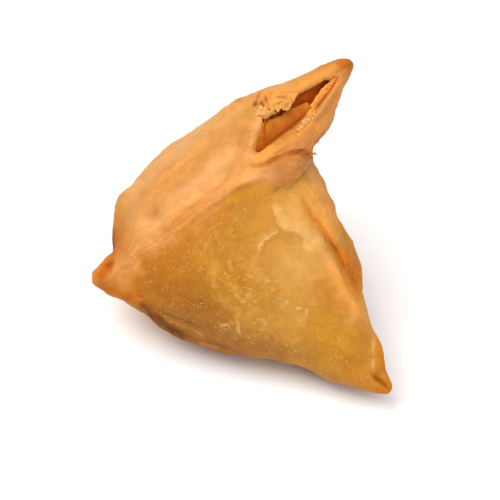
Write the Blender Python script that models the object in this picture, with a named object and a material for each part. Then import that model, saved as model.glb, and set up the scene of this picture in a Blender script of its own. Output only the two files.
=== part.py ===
"""A deep-fried samosa in one solid: a filled cone of dough whose mouth is pinched shut along a seal.

The samosa is shaped square on to its front panel. In this panel frame X runs across the panel, Y up it and Z
out of it, in millimetres. The seal runs from the horn, at the left, up to the neck at the right, and past the
neck the pinched dough goes on as the ear, whose lips have come open. At the end settle() leans the panel back
and stands the samosa on its belly.
"""

import math

import bmesh
import bpy
import numpy as np
from mathutils import Matrix, Vector

MM = 0.001

# Pose and make: degrees, then mm
LEAN_BACK = 48.0
DOUGH = 1.8
SHEET_DOUGH = 1.2
REST_PRESS = 2.3

# The flat that it rests on: its corners, across and back, in mm, and how steeply the dough lifts off round it
REST_CORNERS = (
    (-8.5, 6.8),
    (-11.0, -8.4),
    (2.0, -16.0),
    (14.5, -10.0),
    (6.6, 4.6),
)
REST_RIM_DEGREES = 7.0

# How finely the skin is worked, and how much it is rounded away from the ear's lips
VOXEL = 0.85
SOFTENING = 12
LIPS_MIDDLE = (14.0, 36.0, 4.0)
LIPS_REACH = 16.5
LIPS_FADE = 6.0
LIPS_SHARE = 0.12
TRIANGLES = 9000

# Landmarks of the panel frame: across, up, out
CONE_TIP = (35.5, -35.5, 8.0)
HORN_TIP = (-37.5, -6.5, -1.5)
NECK = (16.0, 28.0, -6.0)
SEAL_LINE = (HORN_TIP, (-27.0, 1.5, 4.5), (-11.0, 12.5, 9.0), (3.0, 22.0, 10.5), (10.5, 25.5, 7.5), NECK)
BASE_EDGE = (
    HORN_TIP,
    (-37.5, 3.0, -13.0),
    (-36.8, 12.0, -18.0),
    (-27.5, 24.5, -20.0),
    (-15.5, 34.0, -19.0),
    (-1.0, 39.5, -15.0),
    NECK,
)

# How the cone's wall swells out of the straight line from tip to rim: fraction of the way round the rim,
# the swell, how far up from the tip it is fullest, and how closely it keeps to that place
WALL = (
    (0.0, 9.3, 0.68, 1.1),
    (0.12, 6.5, 0.6, 1.0),
    (0.3, 5.0, 0.55, 1.0),
    (0.45, 3.5, 0.5, 1.0),
    (0.51, 2.0, 0.5, 1.2),
    (0.56, 5.2, 0.5, 2.2),
    (0.62, 12.0, 0.54, 1.4),
    (0.7, 19.5, 0.6, 1.0),
    (0.8, 21.5, 0.6, 1.0),
    (0.9, 15.8, 0.68, 1.0),
    (0.96, 12.6, 0.7, 1.1),
)
# How the base panel swells, from the horn to the neck
BASE_SWELL = ((0.0, 0.0), (0.15, 2.0), (0.4, 4.0), (0.7, 4.5), (0.9, 2.0), (1.0, 0.0))
EDGE_ROUNDING = 26

# The ear, from its root to its tip: half-widths above and below its axis, and its half-depth
EAR_AXIS = ((-4.0, 23.5, -9.0), (6.0, 33.0, -6.5), (16.5, 41.8, -5.5), (25.8, 49.6, -4.5), (28.4, 51.7, -4.3))
EAR_ABOVE = (
    (0.0, 4.5),
    (0.13, 8.0),
    (0.26, 11.0),
    (0.42, 9.6),
    (0.62, 6.9),
    (0.81, 4.2),
    (0.93, 2.8),
    (0.98, 1.7),
    (1.0, 0.4),
)
EAR_BELOW = (
    (0.0, 8.0),
    (0.24, 9.3),
    (0.45, 10.8),
    (0.62, 9.0),
    (0.81, 5.2),
    (0.93, 3.2),
    (0.98, 1.9),
    (1.0, 0.4),
)
EAR_DEPTH = ((0.0, 7.0), (0.24, 9.0), (0.62, 6.0), (0.81, 4.4), (0.93, 3.0), (0.98, 1.8), (1.0, 0.4))

# The ear's mouth: its two lips, in mm below the ear's axis, and where along the ear it starts and ends
LIP_ABOVE = (
    (0.0, 2.2),
    (0.15, 1.5),
    (0.24, -0.4),
    (0.29, -2.6),
    (0.34, -4.0),
    (0.38, -4.3),
    (0.46, -2.6),
    (0.61, -2.2),
    (0.72, -1.3),
    (0.86, -0.3),
)
LIP_BELOW = (
    (0.0, 2.4),
    (0.15, 2.4),
    (0.31, 3.1),
    (0.48, 4.1),
    (0.55, 3.9),
    (0.63, 2.6),
    (0.72, 1.8),
    (0.86, 1.0),
)
MOUTH_STARTS = 0.13
MOUTH_ENDS = 0.87
MOUTH_DEEPENS = 0.15
MOUTH_CLEAR = 24.0

# The tucked-in sheet that shows in the mouth: its torn edge, in mm below the ear's axis, how far it reaches
# under the lower lip, and how far out of the axis it starts and ends
SHEET_EDGE = ((0.02, 1.0), (0.2, -2.5), (0.32, -3.2), (0.39, -1.5), (0.49, -1.0), (0.58, 0.8))
SHEET_TUCK = 2.5
SHEET_DEPTHS = (0.5, 4.6)

# Fingers of dough: the horn, the cone's blunt tip and the web behind the ear, as an axis, the radius along
# it, and the depth as a share of the width
HORN = (
    ((-20.0, -1.5, -7.0), (-33.2, -6.3, -5.0), (-40.0, -7.2, -2.5)),
    ((0.0, 12.0), (0.4, 10.4), (0.7, 7.4), (1.0, 3.3)),
    0.75,
)
BLUNT_TIP = (
    ((16.0, -21.2, -1.0), (27.4, -30.8, 4.5), (35.4, -36.4, 8.0)),
    ((0.0, 10.5), (0.5, 7.9), (0.8, 5.1), (1.0, 3.3)),
    0.9,
)
EAR_WEB = (
    ((-7.0, 18.0, -14.0), (5.5, 32.4, -12.5), (20.0, 44.2, -7.5)),
    ((0.0, 7.0), (0.3, 9.0), (0.55, 9.0), (1.0, 3.9)),
    0.8,
)

# Lines on the panel: across, up
SEAL_RIDGE = (
    (-35.0, -3.2),
    (-27.0, 1.9),
    (-18.9, 7.6),
    (-10.8, 13.2),
    (-2.7, 18.4),
    (3.2, 22.7),
    (9.5, 27.8),
    (15.4, 32.7),
    (19.4, 37.9),
    (22.3, 42.4),
)
SEAL_VALLEY = ((-33.5, 0.9), (-25.5, 7.0), (-16.2, 13.3), (-10.9, 16.7), (-6.8, 21.1), (-3.2, 25.0))
HORN_RIDGE = (
    (-35.5, 0.5),
    (-28.5, 8.4),
    (-19.5, 13.3),
    (-12.4, 17.6),
    (-7.2, 22.6),
    (-2.5, 28.8),
    (0.0, 35.0),
)
PLEAT = (
    (-5.9, 32.8),
    (-11.8, 29.4),
    (-16.7, 24.5),
    (-20.2, 22.0),
    (-24.2, 16.1),
    (-25.8, 12.1),
    (-27.5, 7.0),
)
SIDE_RIDGE = ((13.0, 12.0), (18.4, 1.3), (22.4, -3.8), (25.1, -8.9), (28.4, -14.9), (31.0, -21.6))
SIDE_CREASE = (
    (12.2, 17.6),
    (17.8, 7.2),
    (21.6, 1.9),
    (23.8, -1.9),
    (26.7, -8.6),
    (30.0, -14.3),
    (32.4, -21.5),
)
TIP_LAYER = ((32.4, -21.5), (32.9, -24.6), (32.7, -30.2), (33.2, -33.4))
TIP_CREASE = ((33.2, -33.4), (36.7, -36.8))
HORN_DIMPLE = ((-40.0, -7.2), (-38.3, -5.2), (-36.9, -3.5))
NECK_CREASE = ((0.8, 22.7), (4.2, 23.1), (8.1, 24.8), (11.5, 26.3), (13.6, 26.7), (16.7, 25.5))
NECK_FLAP = (
    (3.2, 22.1),
    (6.0, 20.2),
    (6.4, 17.6),
    (8.1, 17.1),
    (10.0, 17.2),
    (12.0, 19.5),
    (14.4, 20.8),
    (17.0, 24.6),
)

# Each fold: its line, its height (below 0 it is pressed in), its width, and for an overlapping layer the
# width over which the raised side, left of the line, runs out again
FOLDS = (
    (SEAL_RIDGE, 1.1, 1.7, 0.0),
    (SEAL_VALLEY, -1.0, 1.5, 0.0),
    (HORN_RIDGE, 0.9, 1.9, 0.0),
    (PLEAT, 1.3, 0.5, 7.0),
    (SIDE_RIDGE, 0.8, 2.2, 0.0),
    (SIDE_CREASE, -1.6, 1.1, 0.0),
    (TIP_LAYER, 1.0, 0.5, 5.0),
    (TIP_CREASE, -1.6, 0.7, 0.0),
    (HORN_DIMPLE, -1.5, 0.9, 0.0),
    (NECK_CREASE, -1.8, 0.8, 0.0),
    (NECK_FLAP, 0.8, 0.5, 4.0),
)
FOLDS_BACK_LIMIT = -12.0

CRUST_COLOR = (0.62, 0.27, 0.07, 1.0)
CRUST_ROUGHNESS = 0.42

# Rows and columns of the first shapes
ROWS_ROUND = 64
ROWS_ALONG = 34
ROWS_BASE = 16
ROWS_EAR = 40
ROWS_LOOP = 36
ROWS_MOUTH = 22
ROWS_SHEET = 18
ROWS_FINGER = 20
FINGER_SIDES = 24
FINGER_CAPS = 6


def smooth_curve(points, count):
    """Returns count points, evenly spaced, on the Catmull-Rom curve through the given points."""
    p = np.array(points, float)
    p = np.vstack([2 * p[0] - p[1], p, 2 * p[-1] - p[-2]])
    t = np.linspace(0, 1, 24, endpoint=False)[:, None]
    fine = []
    for a, b, c, d in zip(p[:-3], p[1:-2], p[2:-1], p[3:]):
        bend = (2 * a - 5 * b + 4 * c - d) * t**2 + (3 * b - a - 3 * c + d) * t**3
        fine.append(0.5 * (2 * b + (c - a) * t + bend))
    fine = np.vstack([*fine, p[-2:-1]])
    reach = np.concatenate([[0], np.cumsum(np.linalg.norm(np.diff(fine, axis=0), axis=1))])
    wanted = np.linspace(0, reach[-1], count)
    return np.stack([np.interp(wanted, reach, fine[:, k]) for k in range(fine.shape[1])], axis=1)


def blend_keys(keys, at, period=None):
    """Blends (place, value) pairs smoothly at the given places, round a loop if a period is given."""
    places = np.array([k[0] for k in keys], float)
    values = np.array([k[1] for k in keys], float)
    if period:
        places = np.concatenate([places[-2:] - period, places, places[:2] + period])
        values = np.concatenate([values[-2:], values, values[:2]])
    slope = np.gradient(values, places)
    at = np.clip(np.asarray(at, float), places[0], places[-1])
    i = np.clip(np.searchsorted(places, at, side="right") - 1, 0, len(places) - 2)
    gap = places[i + 1] - places[i]
    t = (at - places[i]) / gap
    start = (2 * t**3 - 3 * t**2 + 1) * values[i] + (t**3 - 2 * t**2 + t) * gap * slope[i]
    end = (3 * t**2 - 2 * t**3) * values[i + 1] + (t**3 - t**2) * gap * slope[i + 1]
    return start + end


def unit(v):
    """Scales vectors to length 1."""
    return v / np.maximum(np.linalg.norm(v, axis=-1, keepdims=True), 1e-9)


def grid_faces(rows, columns, start=0, closed=False):
    """Quads of a grid of points kept row by row."""
    wrap = columns if closed else columns - 1
    return [
        (
            start + r * columns + c,
            start + r * columns + (c + 1) % columns,
            start + (r + 1) * columns + (c + 1) % columns,
            start + (r + 1) * columns + c,
        )
        for r in range(rows - 1)
        for c in range(wrap)
    ]


def mesh_object(name, points, faces):
    """Makes an object of points in mm and faces, welded and facing out."""
    mesh = bpy.data.meshes.new(name)
    mesh.from_pydata([tuple(MM * float(x) for x in p) for p in points], [], faces)
    bm = bmesh.new()
    bm.from_mesh(mesh)
    bmesh.ops.remove_doubles(bm, verts=bm.verts, dist=0.02 * MM)
    bmesh.ops.recalc_face_normals(bm, faces=bm.faces)
    bm.to_mesh(mesh)
    bm.free()
    obj = bpy.data.objects.new(name, mesh)
    bpy.context.scene.collection.objects.link(obj)
    return obj


def tube_object(name, rings):
    """Makes an object of closed rings of points, with both ends capped."""
    sides = len(rings[0])
    points = np.vstack(rings)
    faces = grid_faces(len(rings), sides, closed=True)
    faces.append(tuple(range(sides)))
    faces.append(tuple(range(len(points) - sides, len(points)))[::-1])
    return mesh_object(name, points, faces)


def sheet_object(name, upper, lower):
    """Makes a closed sheet between two grids of points of one size."""
    rows, columns = upper.shape[:2]
    half = rows * columns
    faces = grid_faces(rows, columns) + [f[::-1] for f in grid_faces(rows, columns, start=half)]
    border = list(range(columns))
    border += [r * columns + columns - 1 for r in range(1, rows)]
    border += [(rows - 1) * columns + c for c in range(columns - 2, -1, -1)]
    border += [r * columns for r in range(rows - 2, 0, -1)]
    for a, b in zip(border, border[1:] + border[:1]):
        faces.append((a, b, half + b, half + a))
    return mesh_object(name, np.vstack([upper.reshape(-1, 3), lower.reshape(-1, 3)]), faces)


def cone_of_dough():
    """The filled cone: walls from the tip to the rim, and the swollen base between seal and base edge."""
    tip = np.array(CONE_TIP)
    seal = smooth_curve(SEAL_LINE, ROWS_ROUND + 1)
    edge = smooth_curve(BASE_EDGE, ROWS_ROUND + 1)
    rim = np.vstack([seal, edge[-2:0:-1]])
    around = np.arange(len(rim)) / len(rim)
    chord = rim - tip
    along = unit(chord)
    out = (tip + rim) / 2 - (tip + rim.mean(axis=0)) / 2
    out = unit(out - (out * along).sum(1, keepdims=True) * along)
    swell, fullest, close = (blend_keys([(k[0], k[n]) for k in WALL], around, period=1.0) for n in (1, 2, 3))
    rings = []
    for t in np.linspace(0, 1, ROWS_ALONG):
        below = (t / fullest) ** (2 * close * fullest)
        above = ((1 - t) / (1 - fullest)) ** (2 * close * (1 - fullest))
        ring = tip + chord * t + out * (swell * below * above)[:, None]
        # the cone's long edges are rounded, most in the middle of their run
        for _ in range(int(round(EDGE_ROUNDING * math.sin(math.pi * t) ** 1.5))):
            ring = 0.5 * ring + 0.25 * (np.roll(ring, 1, axis=0) + np.roll(ring, -1, axis=0))
        rings.append(ring)
    walls = np.vstack(rings)
    # the base: a swollen line from each seal point to the base-edge point across from it
    across = edge - seal
    lift = unit(np.cross(unit(np.gradient(seal, axis=0)), unit(across)))
    side = np.sign(((seal + edge) / 2 - walls.mean(axis=0)) @ lift.mean(axis=0))
    height = blend_keys(BASE_SWELL, np.linspace(0, 1, ROWS_ROUND + 1)) * side
    base = []
    for c in np.linspace(0, 1, ROWS_BASE):
        base.append(seal + across * c + lift * (height * 4 * c * (1 - c))[:, None])
    faces = grid_faces(ROWS_ALONG, len(rim), closed=True)
    faces += grid_faces(ROWS_BASE, ROWS_ROUND + 1, start=len(walls))
    return mesh_object("cone", np.vstack([walls, *base]), faces)


def frames_along(axis, count):
    """Points along an axis curve, and at each the ways along it, across it downwards and out of the panel."""
    line = smooth_curve(axis, count)
    along = unit(np.gradient(line, axis=0))
    down = unit(np.cross(along, np.array([0.0, 0.0, 1.0])))
    outward = unit(np.cross(down, along))
    return line, along, down, outward


def finger(name, axis, radii, flatness):
    """A tapered, flattened finger of dough with a round end."""
    line, along, down, outward = frames_along(axis, ROWS_FINGER)
    radius = blend_keys(radii, np.linspace(0, 1, ROWS_FINGER))
    angle = np.linspace(0, 2 * math.pi, FINGER_SIDES, endpoint=False)[:, None]

    def ring(centre, size, i):
        return centre + size * (np.cos(angle) * down[i] + flatness * np.sin(angle) * outward[i])

    rings = [ring(line[i], radius[i], i) for i in range(ROWS_FINGER)]
    for k in range(1, FINGER_CAPS + 1):
        turn = math.radians(89.5) * k / FINGER_CAPS
        centre = line[-1] + along[-1] * radius[-1] * math.sin(turn)
        rings.append(ring(centre, radius[-1] * math.cos(turn), -1))
    return tube_object(name, rings)


def ear_loop(share, inset, angles):
    """The ear's section at a share of its length: offsets down and out, for angles from the way out."""
    widths = (EAR_ABOVE, EAR_BELOW, EAR_DEPTH)
    above, below, deep = (max(float(blend_keys(keys, share)) - inset, 0.15) for keys in widths)
    return np.where(np.sin(angles) > 0, below, above) * np.sin(angles), deep * np.cos(angles)


def lip_angles(share, inset=0.0):
    """Where the ear's wall starts and ends round its section, which leaves the mouth open."""
    above = max(float(blend_keys(EAR_ABOVE, share)) - inset, 0.3)
    below = max(float(blend_keys(EAR_BELOW, share)) - inset, 0.3)
    first = float(blend_keys(LIP_BELOW, share))
    last = float(blend_keys(LIP_ABOVE, share))
    start = math.asin(np.clip(first / below, -0.95, 0.95))
    end = math.asin(np.clip(last / (above if last < 0 else below), -0.95, 0.95))
    return start, 2 * math.pi + end


def ear_wall():
    """The ear: a beak of dough whose wall runs round from the lower lip, by the back, to the upper lip."""
    line, _, down, outward = frames_along(EAR_AXIS, ROWS_EAR)
    skins = []
    for inset in (0.0, DOUGH):
        rows = []
        for i, share in enumerate(np.linspace(0, 1, ROWS_EAR)):
            a, b = ear_loop(share, inset, np.linspace(*lip_angles(share), ROWS_LOOP))
            rows.append(line[i] + a[:, None] * down[i] + b[:, None] * outward[i])
        skins.append(np.array(rows))
    return sheet_object("ear", *skins)


def mouth_space():
    """The hollow of the ear and its way out between the lips."""
    line, _, down, outward = frames_along(EAR_AXIS, 101)
    rings = []
    for share in np.linspace(MOUTH_STARTS, MOUTH_ENDS, ROWS_MOUTH):
        i = int(round(share * 100))
        a, b = ear_loop(share, DOUGH, np.linspace(*lip_angles(share, DOUGH), ROWS_LOOP))
        # towards the root the hollow grows shallow
        b = np.where(b < 0, b * min(1.0, 0.3 + (share - MOUTH_STARTS) / MOUTH_DEEPENS), b)
        a = np.concatenate([a, [a[-1], a[0]]])
        b = np.concatenate([b, [MOUTH_CLEAR, MOUTH_CLEAR]])
        rings.append(line[i] + a[:, None] * down[i] + b[:, None] * outward[i])
    return tube_object("mouth", rings)


def inner_sheet():
    """The tucked-in sheet that shows in the mouth, from under the lower lip up to its torn edge."""
    line, _, down, outward = frames_along(EAR_AXIS, 101)
    lift = np.linspace(0, 1, 9)
    depth = SHEET_DEPTHS[0] + (SHEET_DEPTHS[1] - SHEET_DEPTHS[0]) * np.sin(lift * math.pi / 2)
    rows = []
    for share in np.linspace(SHEET_EDGE[0][0], SHEET_EDGE[-1][0], ROWS_SHEET):
        i = int(round(share * 100))
        torn = float(blend_keys(SHEET_EDGE, share))
        under = float(blend_keys(LIP_BELOW, share)) + SHEET_TUCK
        across = under + (torn - under) * lift
        rows.append(line[i] + across[:, None] * down[i] + depth[:, None] * outward[i])
    grid = np.array(rows)
    normal = unit(np.cross(np.gradient(grid, axis=0), np.gradient(grid, axis=1)))
    return sheet_object("inner_sheet", grid + normal * SHEET_DOUGH / 2, grid - normal * SHEET_DOUGH / 2)


def keep_shape(obj):
    """Makes the shape that the modifiers give into the object's own."""
    bpy.context.view_layer.update()
    graph = bpy.context.evaluated_depsgraph_get()
    mesh = bpy.data.meshes.new_from_object(obj.evaluated_get(graph))
    obj.modifiers.clear()
    obj.data = mesh
    mesh.name = obj.name


def cut(obj, cutter):
    """Cuts the cutter out of the object."""
    modifier = obj.modifiers.new("cut", "BOOLEAN")
    modifier.operation = "DIFFERENCE"
    modifier.object = cutter
    keep_shape(obj)
    bpy.data.objects.remove(cutter)


def knead_together(name, pieces):
    """Makes one skin over all the pieces, which overlap."""
    bm = bmesh.new()
    for piece in pieces:
        bm.from_mesh(piece.data)
        bpy.data.objects.remove(piece)
    mesh = bpy.data.meshes.new(name)
    bm.to_mesh(mesh)
    bm.free()
    obj = bpy.data.objects.new(name, mesh)
    bpy.context.scene.collection.objects.link(obj)
    skin = obj.modifiers.new("one_skin", "REMESH")
    skin.mode = "VOXEL"
    skin.voxel_size = VOXEL * MM
    keep_shape(obj)
    return obj


def drop_crumbs(obj):
    """Keeps only the largest connected skin."""
    bm = bmesh.new()
    bm.from_mesh(obj.data)
    left = set(bm.verts)
    skins = []
    while left:
        front = [left.pop()]
        skin = list(front)
        while front:
            vert = front.pop()
            for edge in vert.link_edges:
                other = edge.other_vert(vert)
                if other in left:
                    left.remove(other)
                    front.append(other)
                    skin.append(other)
        skins.append(skin)
    skins.sort(key=len)
    for skin in skins[:-1]:
        bmesh.ops.delete(bm, geom=skin, context="VERTS")
    bm.to_mesh(obj.data)
    bm.free()


def soften(obj):
    """Rounds the whole skin, and far less of it round the ear's thin lips."""
    group = obj.vertex_groups.new(name="soft")
    middle = Vector(LIPS_MIDDLE) * MM
    for v in obj.data.vertices:
        away = (v.co - middle).length / MM
        group.add([v.index], min(max((away - LIPS_REACH) / LIPS_FADE, LIPS_SHARE), 1.0), "REPLACE")
    smooth = obj.modifiers.new("soften", "SMOOTH")
    smooth.factor = 0.5
    smooth.iterations = SOFTENING
    smooth.vertex_group = "soft"
    keep_shape(obj)
    obj.vertex_groups.clear()


def near_line(line, at):
    """For points across and up: distance to a line, the side (+ is left of it) and the share along it."""
    line = smooth_curve(line, 60)
    start, step = line[:-1], np.diff(line, axis=0)
    length = np.linalg.norm(step, axis=1)
    travel = np.concatenate([[0], np.cumsum(length)])
    rel = at[:, None, :] - start[None]
    t = np.clip((rel * step).sum(-1) / (length**2), 0, 1)
    distance = np.linalg.norm(rel - t[..., None] * step, axis=-1)
    best = distance.argmin(1)
    rows = np.arange(len(at))
    side = np.sign(step[best, 0] * rel[rows, best, 1] - step[best, 1] * rel[rows, best, 0])
    share = (travel[best] + t[rows, best] * length[best]) / travel[-1]
    return distance[rows, best], side, share


def press_folds(obj):
    """Raises the ridges and layers and presses in the creases, on the side of the skin that faces out."""
    mesh = obj.data
    co = np.empty(len(mesh.vertices) * 3)
    normal = np.empty(len(mesh.vertices) * 3)
    mesh.vertices.foreach_get("co", co)
    mesh.vertices.foreach_get("normal", normal)
    co = co.reshape(-1, 3)
    normal = normal.reshape(-1, 3)
    facing = np.clip((normal[:, 2] - 0.05) / 0.35, 0, 1)
    picked = np.nonzero((facing > 0) & (co[:, 2] > FOLDS_BACK_LIMIT * MM))[0]
    at = co[picked, :2] / MM
    move = np.zeros(len(picked))
    for line, rise, width, runout in FOLDS:
        distance, side, share = near_line(line, at)
        if runout:
            signed = distance * side
            bump = (0.5 + 0.5 * np.tanh(signed / width)) * np.exp(-((np.maximum(signed, 0) / runout) ** 2))
            bump *= distance < 3 * runout
            ends = np.clip(np.minimum(share, 1 - share) / 0.12, 0, 1)
        else:
            bump = np.exp(-((distance / width) ** 2))
            ends = np.clip(share / 0.3, 0.1, 1) * np.clip((1 - share) / 0.12, 0.1, 1)
        move += rise * bump * ends
    co[picked] += normal[picked] * (move * facing[picked] * MM)[:, None]
    mesh.vertices.foreach_set("co", co.ravel())
    mesh.update()


def settle(obj):
    """Leans the panel back and stands the box's base centre on the origin, with the belly pressed below it."""
    obj.data.transform(Matrix.Rotation(math.radians(90 - LEAN_BACK), 4, "X"))
    co = np.array([v.co for v in obj.data.vertices])
    low, high = co.min(axis=0), co.max(axis=0)
    shift = Vector((-(low[0] + high[0]) / 2, -(low[1] + high[1]) / 2, -low[2] - REST_PRESS * MM))
    obj.data.transform(Matrix.Translation(shift))


def press_flat(obj):
    """Flattens the belly on the floor, with a rim that lifts off each side of the flat."""
    flats = [(Vector((0, 0, 0)), Vector((0, 0, -1)))]
    corners = [Vector((x, y, 0)) * MM for x, y in REST_CORNERS]
    lift = math.radians(REST_RIM_DEGREES)
    for start, end in zip(corners, corners[1:] + corners[:1]):
        outward = Vector((0, 0, -1)).cross(end - start).normalized()
        flats.append((start, outward * math.sin(lift) + Vector((0, 0, -math.cos(lift)))))
    body = bmesh.new()
    body.from_mesh(obj.data)
    for place, downward in flats:
        everything = body.verts[:] + body.edges[:] + body.faces[:]
        cut = bmesh.ops.bisect_plane(body, geom=everything, plane_co=place, plane_no=downward, clear_outer=True)
        rim = [part for part in cut["geom_cut"] if isinstance(part, bmesh.types.BMEdge)]
        bmesh.ops.contextual_create(body, geom=rim)
    bmesh.ops.recalc_face_normals(body, faces=body.faces[:])
    body.to_mesh(obj.data)
    body.free()


def thin_out(obj):
    """Leaves about TRIANGLES triangles, small where the form is fine and large where it is plain."""
    obj.data.calc_loop_triangles()
    modifier = obj.modifiers.new("thin_out", "DECIMATE")
    modifier.ratio = min(1.0, TRIANGLES / len(obj.data.loop_triangles))
    keep_shape(obj)


def give_crust(obj):
    """Gives the fried dough its golden brown."""
    material = bpy.data.materials.new("fried_dough")
    material.use_nodes = True
    shader = material.node_tree.nodes["Principled BSDF"]
    shader.inputs["Base Color"].default_value = CRUST_COLOR
    shader.inputs["Roughness"].default_value = CRUST_ROUGHNESS
    shader.inputs["Metallic"].default_value = 0.0
    obj.data.materials.clear()
    obj.data.materials.append(material)
    obj.data.shade_smooth()


def build():
    """Builds the samosa, the scene's only object."""
    for obj in list(bpy.data.objects):
        bpy.data.objects.remove(obj)
    cone = cone_of_dough()
    web = finger("web", *EAR_WEB)
    for dough in (cone, web):
        cut(dough, mouth_space())
    horn = finger("horn", *HORN)
    tip = finger("tip", *BLUNT_TIP)
    samosa = knead_together("samosa", [cone, web, ear_wall(), inner_sheet(), horn, tip])
    drop_crumbs(samosa)
    soften(samosa)
    press_folds(samosa)
    settle(samosa)
    thin_out(samosa)
    press_flat(samosa)
    give_crust(samosa)


build()
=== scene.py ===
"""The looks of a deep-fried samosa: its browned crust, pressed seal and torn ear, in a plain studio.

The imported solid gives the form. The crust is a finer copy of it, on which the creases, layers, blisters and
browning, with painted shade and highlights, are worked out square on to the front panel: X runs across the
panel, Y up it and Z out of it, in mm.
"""

import logging
import math
from dataclasses import dataclass
from enum import Enum

import bpy
import numpy as np
from mathutils import Euler, Matrix, Vector
from mathutils.bvhtree import BVHTree


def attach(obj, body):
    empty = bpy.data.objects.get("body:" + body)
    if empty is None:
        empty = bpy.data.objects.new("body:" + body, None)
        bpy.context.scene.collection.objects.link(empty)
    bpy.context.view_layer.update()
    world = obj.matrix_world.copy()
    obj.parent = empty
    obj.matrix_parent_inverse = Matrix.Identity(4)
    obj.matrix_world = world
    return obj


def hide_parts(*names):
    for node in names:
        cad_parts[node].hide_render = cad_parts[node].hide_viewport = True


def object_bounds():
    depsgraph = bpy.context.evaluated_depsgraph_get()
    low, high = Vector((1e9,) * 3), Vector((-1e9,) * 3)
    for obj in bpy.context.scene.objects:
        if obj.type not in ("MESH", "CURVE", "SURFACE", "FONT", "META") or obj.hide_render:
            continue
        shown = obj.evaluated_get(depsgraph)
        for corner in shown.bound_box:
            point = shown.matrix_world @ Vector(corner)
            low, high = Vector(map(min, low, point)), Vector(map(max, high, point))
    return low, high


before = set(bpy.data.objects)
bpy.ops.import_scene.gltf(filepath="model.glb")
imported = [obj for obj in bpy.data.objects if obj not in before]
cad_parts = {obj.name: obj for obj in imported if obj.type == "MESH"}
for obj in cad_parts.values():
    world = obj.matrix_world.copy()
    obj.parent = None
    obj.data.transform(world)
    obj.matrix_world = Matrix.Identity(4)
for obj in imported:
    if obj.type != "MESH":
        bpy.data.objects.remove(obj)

MM = 0.001
BODY = "root"
SOLID = "samosa"
CAD_LOW, CAD_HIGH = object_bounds()
# the colour attribute: the fried colour, with painted shade and painted highlights in places
FRIED_AND_PAINTED_LIGHT = "fried"
# past REACH times its width a fold or a stroke has no effect, and FAR mm is past everything
REACH = 3.0
FAR = 1000.0
# how many places of a line blisters and crumbs are drawn from
SCATTER = 200

log = logging.getLogger("samosa")

Points = np.ndarray
Mesh = bpy.types.Mesh
Object = bpy.types.Object
Material = bpy.types.Material
Socket = bpy.types.NodeSocket
Colour = tuple[float, float, float, float]
Place = tuple[float, float]
Route = tuple[Place, ...]
Spot = tuple[float, float, float]
Noise = tuple[float, ...]
Span = tuple[float, ...]
Bump = tuple[float, float]


class Fry(Enum):
    """How a spot of the crust came out of the oil: the red, green and blue that it reflects. Some are also
    laid as painted shade, shadows and highlights, as noted where they are laid.
    """

    GOLDEN = (0.47, 0.197, 0.024)
    YELLOW = (0.54, 0.235, 0.015)
    OLIVE = (0.56, 0.275, 0.048)
    PALE_GOLD = (0.64, 0.31, 0.07)
    CREAM = (0.72, 0.38, 0.12)
    PEACH = (0.575, 0.245, 0.063)
    PINK = (0.73, 0.34, 0.115)
    GLOWING = (0.8, 0.3, 0.052)
    ORANGE = (0.5, 0.165, 0.012)
    AMBER = (0.44, 0.105, 0.005)
    RED = (0.36, 0.045, 0.001)
    RUST = (0.62, 0.165, 0.006)
    EMBER = (0.56, 0.09, 0.002)
    SALMON = (0.69, 0.275, 0.075)
    # a darker sienna laid only at the tongue's foot, as painted shade under the lower lip
    SHADED_SIENNA = (0.36, 0.074, 0.003)
    MAUVE = (0.42, 0.16, 0.046)
    MOSS = (0.36, 0.18, 0.02)
    OCHRE = (0.32, 0.102, 0.008)
    DUSKY = (0.31, 0.118, 0.024)
    BROWN = (0.15, 0.046, 0.008)
    FLOUR = (0.86, 0.58, 0.27)

    @property
    def colour(self) -> Points:
        """The colour as an array."""
        return np.array(self.value)


class Mark(Enum):
    """A number kept on the mesh for the finish to read."""

    SPECKS = "specks"
    VEINS = "veins"
    SEAL = "seal"
    ACROSS = "across"
    DRY = "dry"


def soft_step(x: Points, low: float, high: float) -> Points:
    """Rises smoothly from 0 at low to 1 at high."""
    t = np.clip((x - low) / (high - low), 0.0, 1.0)
    return t * t * (3.0 - 2.0 * t)


def soft_band(x: Points, low: float, full: float, fall: float, high: float) -> Points:
    """Is 1 from full to fall, and fades to 0 at low and at high."""
    return soft_step(x, low, full) * soft_step(-x, -high, -fall)


def fade_ends(share: Points, ends: float) -> Points:
    """Fades from 1 to 0 over that share of a line at each end."""
    return soft_step(np.minimum(share, 1 - share), 0.0, ends)


def oval(at: Points, middle: Place, width: float, length: float, turn: float) -> Points:
    """How far out places lie in an oval, squared: 0 in its middle and 1 on its edge.

    Args:
        at: Places, across and up.
        middle: The oval's middle.
        width: Its half width in mm.
        length: Its half length in mm, or 0 for a circle.
        turn: The degrees by which its length is turned from across.

    Returns:
        One number for each place.
    """
    rel = at - np.array(middle)
    c, s = math.cos(math.radians(turn)), math.sin(math.radians(turn))
    long = (rel[:, 0] * c + rel[:, 1] * s) / (length or width)
    wide = (rel[:, 1] * c - rel[:, 0] * s) / width
    return long**2 + wide**2


@dataclass(frozen=True)
class PanelFrame:
    """The frame square on to the front panel, and its place in the row frame."""

    lean_back: float = 48.0
    middle: Spot = (2.2, -3.6, 25.6)

    @property
    def turn(self) -> Points:
        """The rotation from the panel frame to the row frame."""
        return np.array(Matrix.Rotation(math.radians(90.0 - self.lean_back), 3, "X"))

    def to_row(self, points: Points) -> Points:
        """Panel millimetres to row-frame metres."""
        return (np.atleast_2d(points) @ self.turn.T + np.array(self.middle)) * MM

    def to_panel(self, points: Points) -> Points:
        """Row-frame metres to panel millimetres."""
        return (np.atleast_2d(points) / MM - np.array(self.middle)) @ self.turn

    def direction_to_panel(self, directions: Points) -> Points:
        """Turns row-frame directions into the panel frame."""
        return np.atleast_2d(directions) @ self.turn

    def outward(self) -> Vector:
        """The way out of the front panel, in the row frame."""
        return Vector(self.turn[:, 2])


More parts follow.
